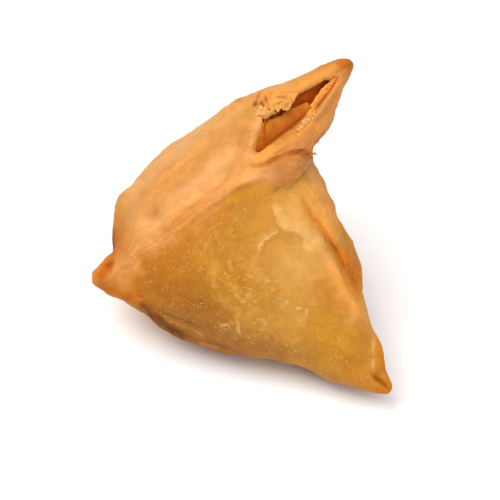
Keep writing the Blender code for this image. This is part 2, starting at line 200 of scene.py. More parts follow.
@dataclass(frozen=True)
class Lumps:
    """Smooth seeded noise from about -1 to 1, whose lumps are about size mm across."""

    size: float
    seed: int
    stretch: Spot = (1.0, 1.0, 1.0)
    cells: int = 32
    shift: float = 100.0
    gain: float = 1.6

    def at(self, points: Points) -> Points:
        """Reads the noise off a seeded grid of random numbers.

        Args:
            points: Rows of three, in mm.

        Returns:
            One number for each point.
        """
        table = np.random.default_rng(self.seed).uniform(-1, 1, (self.cells,) * 3)
        p = points / (self.size * np.array(self.stretch)) + self.shift
        cell = np.floor(p).astype(int)
        t = p - cell
        t = t * t * (3 - 2 * t)
        total = np.zeros(len(points))
        for corner in np.ndindex(2, 2, 2):
            weight = np.prod(np.where(np.array(corner) == 1, t, 1 - t), axis=1)
            i, j, k = ((cell + np.array(corner)) % self.cells).T
            total += weight * table[i, j, k]
        return total * self.gain


@dataclass(frozen=True)
class SkinLine:
    """A smooth line drawn on the panel through places given as across and up, in mm."""

    places: Route
    steps: int = 16

    def fine(self, count: int = 40) -> Points:
        """Evenly spaced places on the smooth curve.

        Args:
            count: How many places.

        Returns:
            An array of count rows, across and up.
        """
        p = np.array(self.places, float)
        p = np.vstack([2 * p[0] - p[1], p, 2 * p[-1] - p[-2]])
        t = np.linspace(0, 1, self.steps, endpoint=False)[:, None]
        curve = []
        for a, b, c, d in zip(p[:-3], p[1:-2], p[2:-1], p[3:]):
            bend = (2 * a - 5 * b + 4 * c - d) * t**2 + (3 * b - a - 3 * c + d) * t**3
            curve.append(0.5 * (2 * b + (c - a) * t + bend))
        curve = np.vstack([*curve, p[-2:-1]])
        reach = np.concatenate([[0], np.cumsum(np.linalg.norm(np.diff(curve, axis=0), axis=1))])
        wanted = np.linspace(0, reach[-1], count)
        return np.stack([np.interp(wanted, reach, curve[:, k]) for k in (0, 1)], axis=1)

    def near(self, at: Points, reach: float = FAR) -> tuple[Points, Points]:
        """How places lie against the line.

        Args:
            at: Places, across and up.
            reach: Places further off than this count as far away.

        Returns:
            The signed distance, above 0 to the left of the line, and the share along it.
        """
        line = self.fine()
        close = np.nonzero(((at > line.min(0) - reach) & (at < line.max(0) + reach)).all(axis=1))[0]
        start, step = line[:-1], np.diff(line, axis=0)
        length = np.linalg.norm(step, axis=1)
        travel = np.concatenate([[0], np.cumsum(length)])
        best = np.full(len(close), FAR)
        side = np.ones(len(close))
        part = np.zeros(len(close))
        for i in range(len(step)):
            rel = at[close] - start[i]
            t = np.clip((rel @ step[i]) / length[i] ** 2, 0, 1)
            away = np.linalg.norm(rel - t[:, None] * step[i], axis=1)
            closer = away < best
            best[closer] = away[closer]
            side[closer] = np.sign(step[i, 0] * rel[closer, 1] - step[i, 1] * rel[closer, 0])
            part[closer] = (travel[i] + t[closer] * length[i]) / travel[-1]
        signed, share = np.full(len(at), FAR), np.zeros(len(at))
        signed[close] = best * side
        share[close] = part
        return signed, share


@dataclass(frozen=True)
class Fold:
    """A ridge or crease along a line, or a layer that ends there.

    With a runout, the side left of the line is raised and runs out over that many mm. Its room is how much
    further it is looked for, because its line wavers.
    """

    places: Route
    rise: float
    width: float
    waver: float = 0.0
    runout: float = 0.0
    ends: float = 0.15
    room: float = 1.0

    def height(self, at: Points, grain: Points) -> Points:
        """How far it moves the skin out, in mm.

        Args:
            at: Places, across and up.
            grain: Noise at those places, which makes the line waver.

        Returns:
            One height for each place.
        """
        signed, share = SkinLine(self.places).near(at, REACH * max(self.width, self.runout) + self.room)
        signed = signed + self.waver * grain
        if self.runout:
            bump = np.exp(-((np.maximum(signed, 0) / self.runout) ** 2))
            bump = (0.5 + 0.5 * np.tanh(signed / self.width)) * bump
        else:
            bump = np.exp(-((signed / self.width) ** 2))
        return self.rise * bump * fade_ends(share, self.ends)


@dataclass(frozen=True)
class Nudge:
    """A pull on the dough, as with finger and thumb: full at its place and gone at its reach, in mm."""

    place: Spot
    move: Spot
    reach: float

    def pull(self, place: Points) -> Points:
        """How it moves points of the panel frame."""
        away = np.linalg.norm(place - np.array(self.place), axis=1) / self.reach
        return np.array(self.move) * (np.clip(1 - away**2, 0, 1) ** 2)[:, None]


@dataclass(frozen=True)
class Pit:
    """A small hole or dent, round or drawn out, in mm."""

    place: Place
    depth: float
    width: float
    length: float = 0.0
    turn: float = 0.0

    def height(self, at: Points) -> Points:
        """How far it moves the skin, below 0."""
        return -self.depth * np.exp(-(oval(at, self.place, self.width, self.length, self.turn) ** 1.5))


@dataclass(frozen=True)
class Stroke:
    """A stain of one kind of frying along a line, or a stroke of painted shade, shadow or highlight.

    With a hem, it lies only left of its line, whose edge is that many mm soft.
    """

    fry: Fry | Mark
    places: Route
    amount: float
    width: float
    ends: float = 0.0
    broken: float = 0.0
    hem: float = 0.0
    breaks: Span = (-0.4, 0.5)

    def share(self, at: Points, grain: Points) -> Points:
        """Its strength.

        Args:
            at: Places, across and up.
            grain: Noise at those places, which breaks up a broken line.

        Returns:
            One share for each place.
        """
        signed, along = SkinLine(self.places).near(at, REACH * self.width)
        share = self.amount * np.exp(-((signed / self.width) ** 2))
        if self.hem:
            share = share * soft_step(signed, -self.hem, self.hem)
        if self.ends:
            share = share * fade_ends(along, self.ends)
        if self.broken:
            share = share * (1 - self.broken * soft_step(grain, *self.breaks))
        return share


@dataclass(frozen=True)
class Patch:
    """A round or oval stain of one kind of frying, or a patch of painted shade or painted sheen."""

    fry: Fry | Mark
    place: Place
    amount: float
    width: float
    length: float = 0.0
    turn: float = 0.0

    def share(self, at: Points, grain: Points) -> Points:
        """Its strength at places, given as across and up; the grain leaves it whole."""
        return self.amount * np.exp(-oval(at, self.place, self.width, self.length, self.turn))


@dataclass(frozen=True)
class Blisters:
    """Small blisters scattered round a place, or along a line, in mm."""

    places: Route
    spread: float
    count: int
    size: float
    seed: int
    sizes: tuple[float, float] = (0.5, 1.4)

    def scatter(self) -> Points:
        """Draws the blisters' places and sizes.

        Returns:
            Rows of across, up and radius.
        """
        rng = np.random.default_rng(self.seed)
        spots = SkinLine(self.places).fine(SCATTER) if len(self.places) > 1 else np.array(self.places)
        middle = spots[rng.integers(0, len(spots), self.count)]
        at = middle + rng.normal(0, self.spread, (self.count, 2))
        radius = self.size * rng.uniform(*self.sizes, self.count) ** 1.5
        return np.column_stack([at, radius])


class NodeTree:
    """A material's nodes, wired by short calls."""

    def __init__(self, name: str) -> None:
        """Starts a material with its Principled shader.

        Args:
            name: The material's name.
        """
        self.material = bpy.data.materials.new(name)
        self.material.use_nodes = True
        self.nodes = self.material.node_tree.nodes
        self.links = self.material.node_tree.links
        self.shader = self.nodes["Principled BSDF"].inputs

    def put(self, value: object, socket: Socket) -> None:
        """Links a socket, or sets a plain value.

        Args:
            value: A socket to link from, or a number, a colour or a vector.
            socket: The input.
        """
        if isinstance(value, Socket):
            self.links.new(value, socket)
        else:
            socket.default_value = value

    def add(self, kind: str, values: dict[str | int, object], **settings: str) -> bpy.types.Node:
        """Adds a node.

        Args:
            kind: What follows ShaderNode in its type.
            values: Its inputs, as sockets or plain values.
            settings: Its own properties.

        Returns:
            The node.
        """
        node = self.nodes.new("ShaderNode" + kind)
        for name, setting in settings.items():
            setattr(node, name, setting)
        for name, value in values.items():
            self.put(value, node.inputs[name])
        return node

    def place_mm(self) -> Socket:
        """Object coordinates, in mm."""
        coordinates = self.add("TexCoord", {}).outputs["Object"]
        return self.add("Mapping", {"Vector": coordinates, "Scale": (1 / MM,) * 3}).outputs["Vector"]

    def mark(self, mark: Mark) -> Socket:
        """A number kept on the mesh."""
        return self.add("Attribute", {}, attribute_name=mark.value).outputs["Fac"]

    def fried(self) -> Socket:
        """The colour kept on the mesh: fried, with painted shade and highlights in places."""
        return self.add("Attribute", {}, attribute_name=FRIED_AND_PAINTED_LIGHT).outputs["Color"]

    def noise(self, place: Socket, size: float, detail: float, twist: float = 0.0) -> Socket:
        """Noise with lumps about size mm across, from 0 to 1."""
        values = {"Vector": place, "Scale": 1 / size, "Detail": detail, "Distortion": twist}
        return self.add("TexNoise", values).outputs["Fac"]

    def cells(self, place: Socket, size: float) -> tuple[Socket, Socket]:
        """Scattered cells.

        Args:
            place: Places in mm.
            size: About how far apart the cells are, in mm.

        Returns:
            The distance from their middles, and each one's own grey.
        """
        node = self.add("TexVoronoi", {"Vector": place, "Scale": 1 / size})
        own = self.add("SeparateColor", {"Color": node.outputs["Color"]})
        return node.outputs["Distance"], own.outputs[0]

    def grey(self, value: Socket) -> Socket:
        """The same value as red, green and blue."""
        return self.add("CombineColor", dict.fromkeys(range(3), value)).outputs[0]

    def warp(self, place: Socket, size: float, amount: float) -> Socket:
        """Shifts places by noise.

        Args:
            place: Places in mm.
            size: The size of the noise's lumps, in mm.
            amount: About twice the furthest shift, in mm.

        Returns:
            The shifted places.
        """
        noise = self.add("TexNoise", {"Vector": place, "Scale": 1 / size}).outputs["Color"]
        values = {0: noise, 1: (amount,) * 3, 2: place}
        return self.add("VectorMath", values, operation="MULTIPLY_ADD").outputs[0]

    def span(self, value: Socket, low: float, high: float, bottom: float = 0.0, top: float = 1.0) -> Socket:
        """Maps low..high smoothly to bottom..top, and holds it there."""
        values = {"Value": value, "From Min": low, "From Max": high, "To Min": bottom, "To Max": top}
        return self.add("MapRange", values, interpolation_type="SMOOTHSTEP").outputs["Result"]

    def reckon(self, operation: str, a: object, b: object = 0.0) -> Socket:
        """A Math node."""
        return self.add("Math", {0: a, 1: b}, operation=operation).outputs[0]

    def times(self, first: object, *others: object) -> Socket:
        """Multiplies sockets or plain values.

        Args:
            first: The first of them.
            others: The rest, in order.

        Returns:
            Their product.
        """
        for other in others:
            first = self.reckon("MULTIPLY", first, other)
        return first

    def blend(self, share: object, under: object, over: object, way: str = "MIX") -> Socket:
        """One colour over another."""
        values = {"Factor": share, 6: under, 7: over}
        return self.add("Mix", values, data_type="RGBA", blend_type=way).outputs[2]

    def bump(self, height: Socket, depth: float, strength: float, under: Socket | None = None) -> Socket:
        """A bump of height 0 to 1 that stands for depth mm."""
        values = {"Strength": strength, "Distance": depth * MM, "Height": height}
        return self.add("Bump", values if under is None else {**values, "Normal": under}).outputs["Normal"]


@dataclass(frozen=True)
class CrustFinish:
    """Fried dough: mottled, with olive clouds, pale veins, pin-prick specks and an oily gloss.

    A noise is its lumps' size in mm, its detail and its twist. A span is the two values between which a thing
    fades in, then the shares that it fades from and to, where these aren't 0 and 1. A bump is its depth in mm
    and its strength.
    """

    olive: Colour = (0.53, 0.265, 0.036, 1.0)
    olive_at: Span = (0.48, 0.66, 0.0, 0.60)
    ochre: Colour = (0.46, 0.155, 0.012, 1.0)
    ochre_at: Span = (0.54, 0.70, 0.0, 0.6)
    vein: Colour = (0.78, 0.46, 0.15, 1.0)
    speck: Colour = (0.84, 0.50, 0.165, 1.0)
    cloud: Noise = (6.0, 3.0, 0.6)
    broad: Noise = (4.2, 4.0, 0.9)
    broad_shade: Span = (0.32, 0.68, 0.92, 1.07)
    mottle: Noise = (2.4, 4.0, 0.5)
    mottle_shade: Span = (0.3, 0.7, 0.97, 1.02)
    fine: Noise = (0.6, 3.0)
    fine_shade: Span = (0.3, 0.7, 0.97, 1.03)
    grain: Noise = (0.33, 2.0)
    grain_shade: Span = (0.25, 0.75, 0.95, 1.05)
    line_shade: Span = (0.0, 1.0, 0.93, 1.05)
    wisp: Noise = (5.0, 2.0, 1.2)
    wisp_width: float = 0.045
    wisp_break: Noise = (1.6, 2.0)
    wisp_break_at: Span = (0.42, 0.62)
    wisp_share: float = 0.42
    seal_period: float = 0.72
    seal_wander: Span = (0.2, 0.8, -0.3, 0.3)
    crowd: Noise = (2.2, 5.0, 0.5)
    crowd_at: Span = (0.55, 0.70)
    crowd_gain: float = 0.14
    dots: Noise = (0.34, 3.0, 0.4)
    dots_at: Span = (0.56, 0.67)
    fleck_warp: tuple[float, float] = (0.3, 0.7)
    fleck_gap: float = 0.70
    fleck_size: Span = (0.13, 0.05)
    fleck_uneven: float = 0.10
    fleck_some: Span = (0.62, 0.95)
    fleck_at: Span = (0.3, 0.9, 0.0, 0.75)
    speck_at: Span = (0.0, 0.6, 0.0, 0.78)
    rough: Span = (0.3, 0.7, 0.42, 0.58)
    dry_rough: float = 0.3
    pores: Bump = (0.07, 0.6)
    skin: Bump = (0.05, 0.9)
    pressed: Bump = (0.08, 0.9)
    raised: Bump = (0.10, 0.8)
    gloss: tuple[tuple[str, object], ...] = (
        ("IOR", 1.33),
        ("Specular IOR Level", 0.22),
        ("Specular Tint", (1.0, 0.80, 0.55, 1.0)),
        ("Coat Weight", 0.03),
        ("Coat Roughness", 0.28),
        ("Subsurface Weight", 0.06),
        ("Subsurface Radius", (1.0, 0.4, 0.12)),
        ("Subsurface Scale", MM),
    )

    def material(self, name: str) -> Material:
        """Wires the crust.

        Args:
            name: The material's name.

        Returns:
            The material.
        """
        tree = NodeTree(name)
        place = tree.place_mm()
        cloud, mottle = tree.noise(place, *self.cloud), tree.noise(place, *self.mottle)
        fine, grain = tree.noise(place, *self.fine), tree.noise(place, *self.grain)
        veins = tree.mark(Mark.VEINS)
        colour = tree.blend(tree.times(veins, tree.span(cloud, *self.olive_at)), tree.fried(), self.olive)
        colour = tree.blend(tree.times(veins, tree.span(mottle, *self.ochre_at)), colour, self.ochre)
        colour = tree.blend(self.wisps(tree, place, veins), colour, self.vein)
        lines = self.seal_lines(tree, cloud)
        shade = tree.times(
            tree.span(mottle, *self.mottle_shade),
            tree.span(fine, *self.fine_shade),
            tree.span(tree.noise(place, *self.broad), *self.broad_shade),
            tree.span(grain, *self.grain_shade),
            tree.span(lines, *self.line_shade),
        )
        colour = tree.blend(1.0, colour, tree.grey(shade), "MULTIPLY")
        speck = self.specks(tree, place)
        tree.put(tree.blend(speck, colour, self.speck), tree.shader["Base Color"])
        dry = tree.times(tree.mark(Mark.DRY), self.dry_rough)
        tree.put(tree.reckon("ADD", tree.span(mottle, *self.rough), dry), tree.shader["Roughness"])
        for socket, value in self.gloss:
            tree.put(value, tree.shader[socket])
        bump = tree.bump(fine, *self.pores)
        bump = tree.bump(grain, *self.skin, bump)
        bump = tree.bump(lines, *self.pressed, bump)
        tree.put(tree.bump(speck, *self.raised, bump), tree.shader["Normal"])
        return tree.material

    def wisps(self, tree: NodeTree, place: Socket, share: Socket) -> Socket:
        """Pale thin veins.

        Args:
            tree: The material's nodes.
            place: Places in mm.
            share: How many veins a place has.

        Returns:
            The share of their colour.
        """
        way = tree.reckon("ABSOLUTE", tree.reckon("SUBTRACT", tree.noise(place, *self.wisp), 0.5))
        thin = tree.span(way, self.wisp_width, 0.0)
        broken = tree.span(tree.noise(place, *self.wisp_break), *self.wisp_break_at)
        return tree.times(thin, broken, tree.times(share, self.wisp_share))

    def seal_lines(self, tree: NodeTree, cloud: Socket) -> Socket:
        """The fine parallel lines along the pressed seal.

        Args:
            tree: The material's nodes.
            cloud: Noise that makes them wander.

        Returns:
            Their height, from 0 to 1.
        """
        across = tree.reckon("ADD", tree.mark(Mark.ACROSS), tree.span(cloud, *self.seal_wander))
        wave = tree.reckon("SINE", tree.times(across, 2 * math.pi / self.seal_period))
        return tree.reckon("ADD", tree.times(wave, tree.times(tree.mark(Mark.SEAL), 0.5)), 0.5)

    def specks(self, tree: NodeTree, place: Socket) -> Socket:
        """Pale pin-prick blisters, thick in clusters, and a few larger flecks of dry flour.

        Args:
            tree: The material's nodes.
            place: Places in mm.

        Returns:
            The share of their colour.
        """
        share = tree.mark(Mark.SPECKS)
        crowd = tree.reckon("ADD", tree.noise(place, *self.crowd), tree.times(share, self.crowd_gain))
        dots = tree.span(tree.noise(place, *self.dots), *self.dots_at)
        dots = tree.times(dots, tree.span(crowd, *self.crowd_at))
        away, own = tree.cells(tree.warp(place, *self.fleck_warp), self.fleck_gap)
        away = tree.reckon("SUBTRACT", away, tree.times(own, self.fleck_uneven))
        flecks = tree.times(tree.span(away, *self.fleck_size), tree.span(own, *self.fleck_some))
        flecks = tree.times(flecks, tree.span(share, *self.fleck_at))
        return tree.times(tree.reckon("MAXIMUM", dots, flecks), tree.span(share, *self.speck_at))


@dataclass(frozen=True)
class FloorFinish:
    """A plain pale table top."""

    pale: Colour = (0.93, 0.93, 0.93, 1.0)
    darker: float = 0.985
    cloud: Noise = (60.0, 2.0)
    roughness: float = 0.9
    specular: float = 0.1

    def material(self, name: str) -> Material:
        """Wires the floor, with a faint unevenness.

        Args:
            name: The material's name.

        Returns:
            The material.
        """
        tree = NodeTree(name)
        noise = tree.noise(tree.place_mm(), *self.cloud)
        darker = tuple(self.darker * c for c in self.pale[:3]) + (1.0,)
        tree.put(tree.blend(noise, self.pale, darker), tree.shader["Base Color"])
        tree.put(self.roughness, tree.shader["Roughness"])
        tree.put(self.specular, tree.shader["Specular IOR Level"])
        return tree.material


def select_only(*objects: Object) -> None:
    """Leaves some objects alone selected, and the first one active.

    Args:
        objects: The objects.
    """
    bpy.ops.object.select_all(action="DESELECT")
    for obj in objects:
        obj.select_set(True)
    bpy.context.view_layer.objects.active = objects[0]


def apply(obj: Object, kind: str, **settings: object) -> None:
    """Adds a modifier and applies it.

    Args:
        obj: The active object.
        kind: The modifier's type.
        settings: Its settings, by name.
    """
    modifier = obj.modifiers.new(kind.lower(), kind)
    for name, setting in settings.items():
        setattr(modifier, name, setting)
    bpy.ops.object.modifier_apply(modifier=modifier.name)


def read_points(mesh: Mesh, what: str = "co") -> Points:
    """Reads a vector of each vertex.

    Args:
        mesh: The mesh.
        what: Which one: its place or its normal.

    Returns:
        Rows of three.
    """
    flat = np.empty(len(mesh.vertices) * 3)
    mesh.vertices.foreach_get(what, flat)
    return flat.reshape(-1, 3)


def write_points(mesh: Mesh, points: Points) -> None:
    """Moves the vertices to these points."""
    mesh.vertices.foreach_set("co", points.ravel())
    mesh.update()


def write_colour_and_marks(mesh: Mesh, colour: Points, marks: dict[Mark, Points]) -> None:
    """Keeps the colour, fried and with painted shade and highlights in places, and the marks on the mesh's
    vertices.

    Args:
        mesh: The mesh.
        colour: Rows of red, green and blue.
        marks: The numbers of each mark; a mark that isn't given is 0.
    """
    rows = np.column_stack([np.clip(colour, 0, 1), np.ones(len(colour))])
    layer = mesh.attributes.new(FRIED_AND_PAINTED_LIGHT, "FLOAT_COLOR", "POINT")
    layer.data.foreach_set("color", rows.ravel().astype(np.float32))
    for mark in Mark:
        layer = mesh.attributes.new(mark.value, "FLOAT", "POINT")
        layer.data.foreach_set("value", marks.get(mark, np.zeros(len(colour))).astype(np.float32))


def blend_rows(under: Points, over: Points, share: Points) -> Points:
    """Blends rows of colour, by one share for each row."""
    share = np.clip(share, 0, 1)[:, None]
    return under * (1 - share) + over * share


# Lines on the panel, as places across and up. What a layer or a hem covers lies to the left of its line.
SEAL_RIDGE = ((-35, -3.2), (-27, 1.9), (-18.9, 7.6), (-10.8, 13.2), (-2.7, 18.4), (3.2, 22.7), (9.5, 27.8),
             (15.4, 32.7), (19.4, 37.9), (22.3, 42.4))
SEAL_STEP = ((-31.6, -2.5), (-25, 1.3), (-18.6, 5.7), (-12.7, 10.8), (-7.3, 14.2), (-1.1, 18.1),
            (5.7, 20.1))
PLEAT = ((-5.9, 32.8), (-11.8, 29.4), (-16.7, 24.5), (-20.2, 22), (-24.2, 16.1), (-25.8, 12.1), (-27.5, 7))
OUTER_CREASE = ((-6, 36.2), (-13, 32.2), (-20.1, 27.5), (-25.1, 22.3), (-29.5, 19.2), (-34.2, 14.3))
SIDE_CREASE = ((10.6, 17), (14.2, 13), (17.2, 8.4), (20.6, 3.2), (23.8, -1.9), (26.7, -8.6), (30, -14.3),
              (32.4, -21.5))
TIP_LAYER = ((32.4, -21.5), (32.9, -24.6), (32.7, -30.2), (33.2, -33.4))
TIP_CREASE = ((33.2, -33.4), (36.7, -36.8))
HORN_RIM = ((-41, -9.2), (-38.6, -8.4), (-36.6, -6), (-34.7, -4.2), (-31.6, -2.5))
NECK_CREASE = ((0.8, 22.7), (4.2, 23.1), (8.1, 24.8), (11.5, 26.3), (13.6, 26.7), (16.7, 25.5))
NECK_FLAP = ((5.7, 15), (6.8, 16.4), (8.5, 17.5), (9.3, 17), (10.5, 17.4), (11.9, 18.6), (13.1, 19.8),
            (14.8, 21.8), (15.9, 23.5), (17.2, 24.6))
SEAL_END = ((-4, 16.1), (0.2, 17.3), (3.1, 18.4), (5.4, 18.7), (6, 20.4))
SMOOTH_EDGE = ((6.4, 15), (6.6, 11), (7.4, 7.4), (9.6, 5.2), (13, 3), (16.6, 0.6), (20, -2))
SKIN_CRACK = ((7.7, 5.6), (7, 4.7), (5.6, 4.2), (4.9, 3.2), (3.5, 2.7), (3.2, 1.6), (2.4, 1), (2.6, -0.2),
             (1.6, -1.1))
LOW_CRACK = ((6.5, -13), (9, -13), (10.8, -15.5), (14.9, -15.9), (14.2, -20.3))
CREASE_LEFT = ((-3.3, -16.6), (-2.7, -23.2))
SLIT_END = ((19.5, 43.4), (21.5, 45.3), (23.3, 47))
LIP_GROOVE = ((16.4, 37), (18.4, 39.2), (20, 41), (21.4, 43), (23, 45.2), (24.6, 47.4))
EAR_EDGE = ((14, 31.4), (18.2, 36.4), (20.8, 40.6), (23.6, 45), (26, 48.4))
EAR_HOLLOW = ((15.4, 30), (19.4, 35.4), (21.9, 40), (24.6, 44.6))
EAR_SEAM = ((22.8, 47.2), (25, 48.6), (27.6, 50.2))
LOBE_RIDGES = (
    ((14.6, 18.6), (18.4, 12.2), (21.6, 7.4), (24, 2.6), (25.6, -1)),
    ((18.4, 16.6), (21, 12.6), (24, 9.2), (26.4, 5), (28.2, -0.6)),
    ((24.6, 5.6), (26.4, 1), (27.6, -4), (29, -8.6)),
    ((26.8, -3.4), (28.8, -5.8), (30, -8.4)),
    ((20, 10), (23.4, 4.8), (25.2, 0.6)),
)
LEFT_CREASE = ((-29.6, 8.8), (-25.6, 15.2), (-22.4, 20), (-16.8, 24.6), (-13, 28))
CRUMPLES = (
    ((2.4, 43.2), (3.8, 41.2), (4, 39.2)),
    ((4.8, 43.6), (5.4, 41.8), (5.4, 39.8)),
)
BELLY_EDGE = ((-12.6, -26.8), (-16.7, -22.4), (-24.3, -19), (-31, -15))
BELLY_FOLDS = (
    ((-28, -17.5), (-22, -20.5), (-16, -22.6), (-10, -24.4)),
    ((-24.5, -20.5), (-19, -23.6), (-12.5, -25.6), (-5, -26.5)),
    ((-26, -15.4), (-20.6, -18.2), (-16.4, -20), (-12.6, -22.4)),
    ((-23.6, -18.4), (-18.6, -20.6), (-14.6, -22), (-11.4, -24.6)),
    ((-21.4, -21.2), (-16, -24), (-9.6, -25.2), (-2.6, -27.6)),
)
LIP_RIDGES = (
    ((3.2, 25.4), (8.4, 28), (13, 31), (17, 35), (20, 39.4), (22.4, 43.6)),
    ((4, 24.4), (9.4, 27), (14.6, 30.2), (18.6, 34.8), (21.6, 39.6)),
    ((9, 25.8), (15, 28.6), (19.6, 33), (22.4, 38)),
)
RIM_CREASES = (
    ((-1.6, 24.6), (-0.2, 28.6), (0.6, 32.4), (1.4, 35.6)),
    ((-3.4, 26), (-2.4, 30), (-1, 34.4)),
)

# Each fold's line, rise, width and waver, and the runout of those that end a layer.
FOLDS = (
    Fold(SEAL_STEP, 0.34, 0.26, 0.12, 3),
    Fold(SEAL_STEP, 0.2, 0.3, 0.12),
    Fold(PLEAT, 0.65, 0.28, 0.25, 3.5),
    Fold(OUTER_CREASE, -0.45, 0.6, 0.3),
    Fold(HORN_RIM, 0.45, 0.8, 0.2),
    Fold(SMOOTH_EDGE, 0.22, 0.5, 0.5, 3.5),
    Fold(SKIN_CRACK, 0.1, 0.22, 0.3, 1.4),
    Fold(LOW_CRACK, 0.22, 0.25, 0.4, 1.6),
    Fold(CREASE_LEFT, 0.12, 0.4, 0.6),
    Fold(SIDE_CREASE, -0.9, 0.55, 0.4, ends=0.4),
    Fold(TIP_LAYER, 0.45, 0.3, 0.3, 2.5),
    Fold(TIP_CREASE, -0.6, 0.5, 0.2),
    Fold(NECK_FLAP, 0.75, 0.22, 0.25, 2.5),
    Fold(SEAL_END, 0.35, 0.3, 0.3, 2),
    Fold(NECK_CREASE, -0.9, 0.5, 0.25),
    Fold(SLIT_END, -1.2, 0.5),
    Fold(LIP_GROOVE, -1.3, 0.42, 0.2),
    Fold(EAR_EDGE, 0.6, 0.5, 0.2),
    Fold(EAR_HOLLOW, -0.5, 0.45, 0.2),
    Fold(EAR_SEAM, -0.45, 0.6, 0.1),
    Fold(LOBE_RIDGES[0], 0.45, 0.5, 0.5),
    Fold(LOBE_RIDGES[1], 0.4, 0.45, 0.6),
    Fold(LOBE_RIDGES[2], 0.45, 0.4, 0.5),
    Fold(LOBE_RIDGES[3], -0.4, 0.35, 0.3),
    Fold(LOBE_RIDGES[4], -0.45, 0.4, 0.5),
    Fold(LEFT_CREASE, -0.35, 0.5, 0.3),
    Fold(CRUMPLES[0], 0.7, 0.45, 0.2),
    Fold(CRUMPLES[1], 0.7, 0.5, 0.2),
    Fold(BELLY_EDGE, -1.1, 0.35, 0.4, 6),
    Fold(BELLY_FOLDS[0], 0.5, 1.1, 0.6),
    Fold(BELLY_FOLDS[1], -0.5, 0.9, 0.6),
    Fold(BELLY_FOLDS[2], -0.35, 0.35, 0.5),
    Fold(BELLY_FOLDS[3], 0.35, 0.35, 0.5),
    Fold(BELLY_FOLDS[4], -0.35, 0.3, 0.4),
    Fold(LIP_RIDGES[0], 0.4, 0.35, 0.2),
    Fold(LIP_RIDGES[1], -0.4, 0.3, 0.2),
    Fold(LIP_RIDGES[2], 0.3, 0.35, 0.3),
    Fold(RIM_CREASES[0], -0.15, 0.3, 0.2),
    Fold(RIM_CREASES[1], -0.25, 0.3, 0.2),
)
# Each patch's line or place, and the spread, count, size and seed of its blisters.
BLISTERS = (
    Blisters(((-26, -11.5), (-19, -14), (-12, -16.5)), 1.8, 60, 0.34, 1),
    Blisters(((-13.2, -0.5),), 2.2, 16, 0.34, 2),
    Blisters(((-10, 3.6),), 0.9, 5, 0.45, 3),
    Blisters(((-6.8, -20.6),), 1.4, 10, 0.62, 4),
    Blisters(((4.5, -24.8), (12, -26), (19, -28.2)), 1.4, 45, 0.34, 5),
    Blisters(((21, -31), (26.5, -33.5)), 1.2, 22, 0.36, 6),
    Blisters(((31, -24.5), (31.5, -31)), 0.9, 14, 0.34, 8),
    Blisters(((25, 3), (27.4, -2), (29.4, -8)), 1, 34, 0.8, 9),
    Blisters(((13.6, 29), (17.6, 32.6), (20.6, 36.6)), 0.8, 24, 0.4, 10),
)
# Each nudge's place, move and reach.
NUDGES = (
    # the back of the base and the left lobe
    Nudge((-4.5, 38.8, -6), (-0.5, 0.7, 0), 14),
    Nudge((-6.5, 39.2, -7.5), (-1.1, 1.5, 0), 7),
    Nudge((-36, 15.5, -15), (-0.5, 0.35, 0), 6),
    Nudge((-36, 14.5, -12), (-1.5, 0.9, 0), 7.5),
    Nudge((-18.5, 31.5, -14), (0.8, -0.9, 0), 7),
    # the horn
    Nudge((-37.5, -3, -2), (-0.7, 1.1, 0), 5),
    Nudge((-37.5, -11.5, -2), (-0.8, -0.8, 0), 5),
    Nudge((-42, -8, -2), (-1, -0.1, 0), 5),
    Nudge((-9, -26.6, -1.5), (0, -0.3, 0), 7),
    # the ear and the neck
    Nudge((25.6, 44.6, -3), (-1.2, 0.3, 0), 4.6),
    Nudge((27.4, 47.6, -3.5), (-0.9, 0.3, 0), 4),
    Nudge((20, 49.6, -4), (-0.1, 0.45, 0), 8),
    Nudge((3, 43.6, -5.5), (-0.2, 0.5, 0), 7),
    Nudge((20.5, 32, -3), (1.2, -0.4, 0), 7),
    Nudge((22.8, 35.6, -3), (0.7, 0, 0), 3.6),
    Nudge((16.6, 27, -4), (1.2, 0.2, 0), 4),
    Nudge((18.5, 20.5, -8), (1.7, 0.6, 0), 6.5),
    # the side lobe and the tip
    Nudge((26.5, 6.5, -10), (-1.4, -0.5, 0), 7),
    Nudge((32, -11.5, -5), (-1.6, -0.3, 0), 8),
    Nudge((32.4, -17.5, 1.5), (-1.7, -0.3, 0), 5.5),
    Nudge((31.2, -13.4, 0.5), (-1.8, -0.3, 0), 4.5),
    Nudge((24.4, 9, -9), (-0.8, -0.3, 0), 5),
    Nudge((35.8, -27.5, 6), (1.5, 0.3, 0), 7.5),
    Nudge((34.5, -38.8, 8.5), (0.3, 0.7, 0), 4),
    Nudge((28.5, -37.2, 4), (-0.1, 1.1, 0), 7),
    Nudge((20, -33.5, 2), (0, 0.4, 0), 8),
    Nudge((5, -29, 2), (0, 0.6, 0), 7),
    Nudge((-18.5, -24.5, -2.5), (-0.1, -0.45, 0), 5),
    Nudge((-29, -17.8, -3), (0.5, 0.9, 0), 6),
    # the rim of dough that rolls over the ear's mouth from the left
    Nudge((-0.6, 27.6, 1), (2.2, -0.6, 0.4), 5.2),
    Nudge((1.8, 32.6, 0), (1.3, -0.3, 0.3), 4.8),
)
# Each pit's place, depth, width, length and turn.
PITS = (
    Pit((1.4, 39.7), 1.5, 0.5, 0.8, 60),
    Pit((3.2, 39.2), 1.4, 0.5, 0.8, 100),
    Pit((4.4, 40.8), 1, 0.45, 1.3, 75),
    Pit((2.2, 41.6), 0.8, 0.45, 1.2, 70),
    Pit((-29.4, -12.7), 0.5, 0.5, 0.8, -15),
    Pit((-33.3, 5.4), 0.4, 0.4, 0.9, 60),
    Pit((-25.5, 22.1), 0.35, 0.5),
    Pit((26.3, -0.7), 0.5, 0.4, 0.9, -60),
)
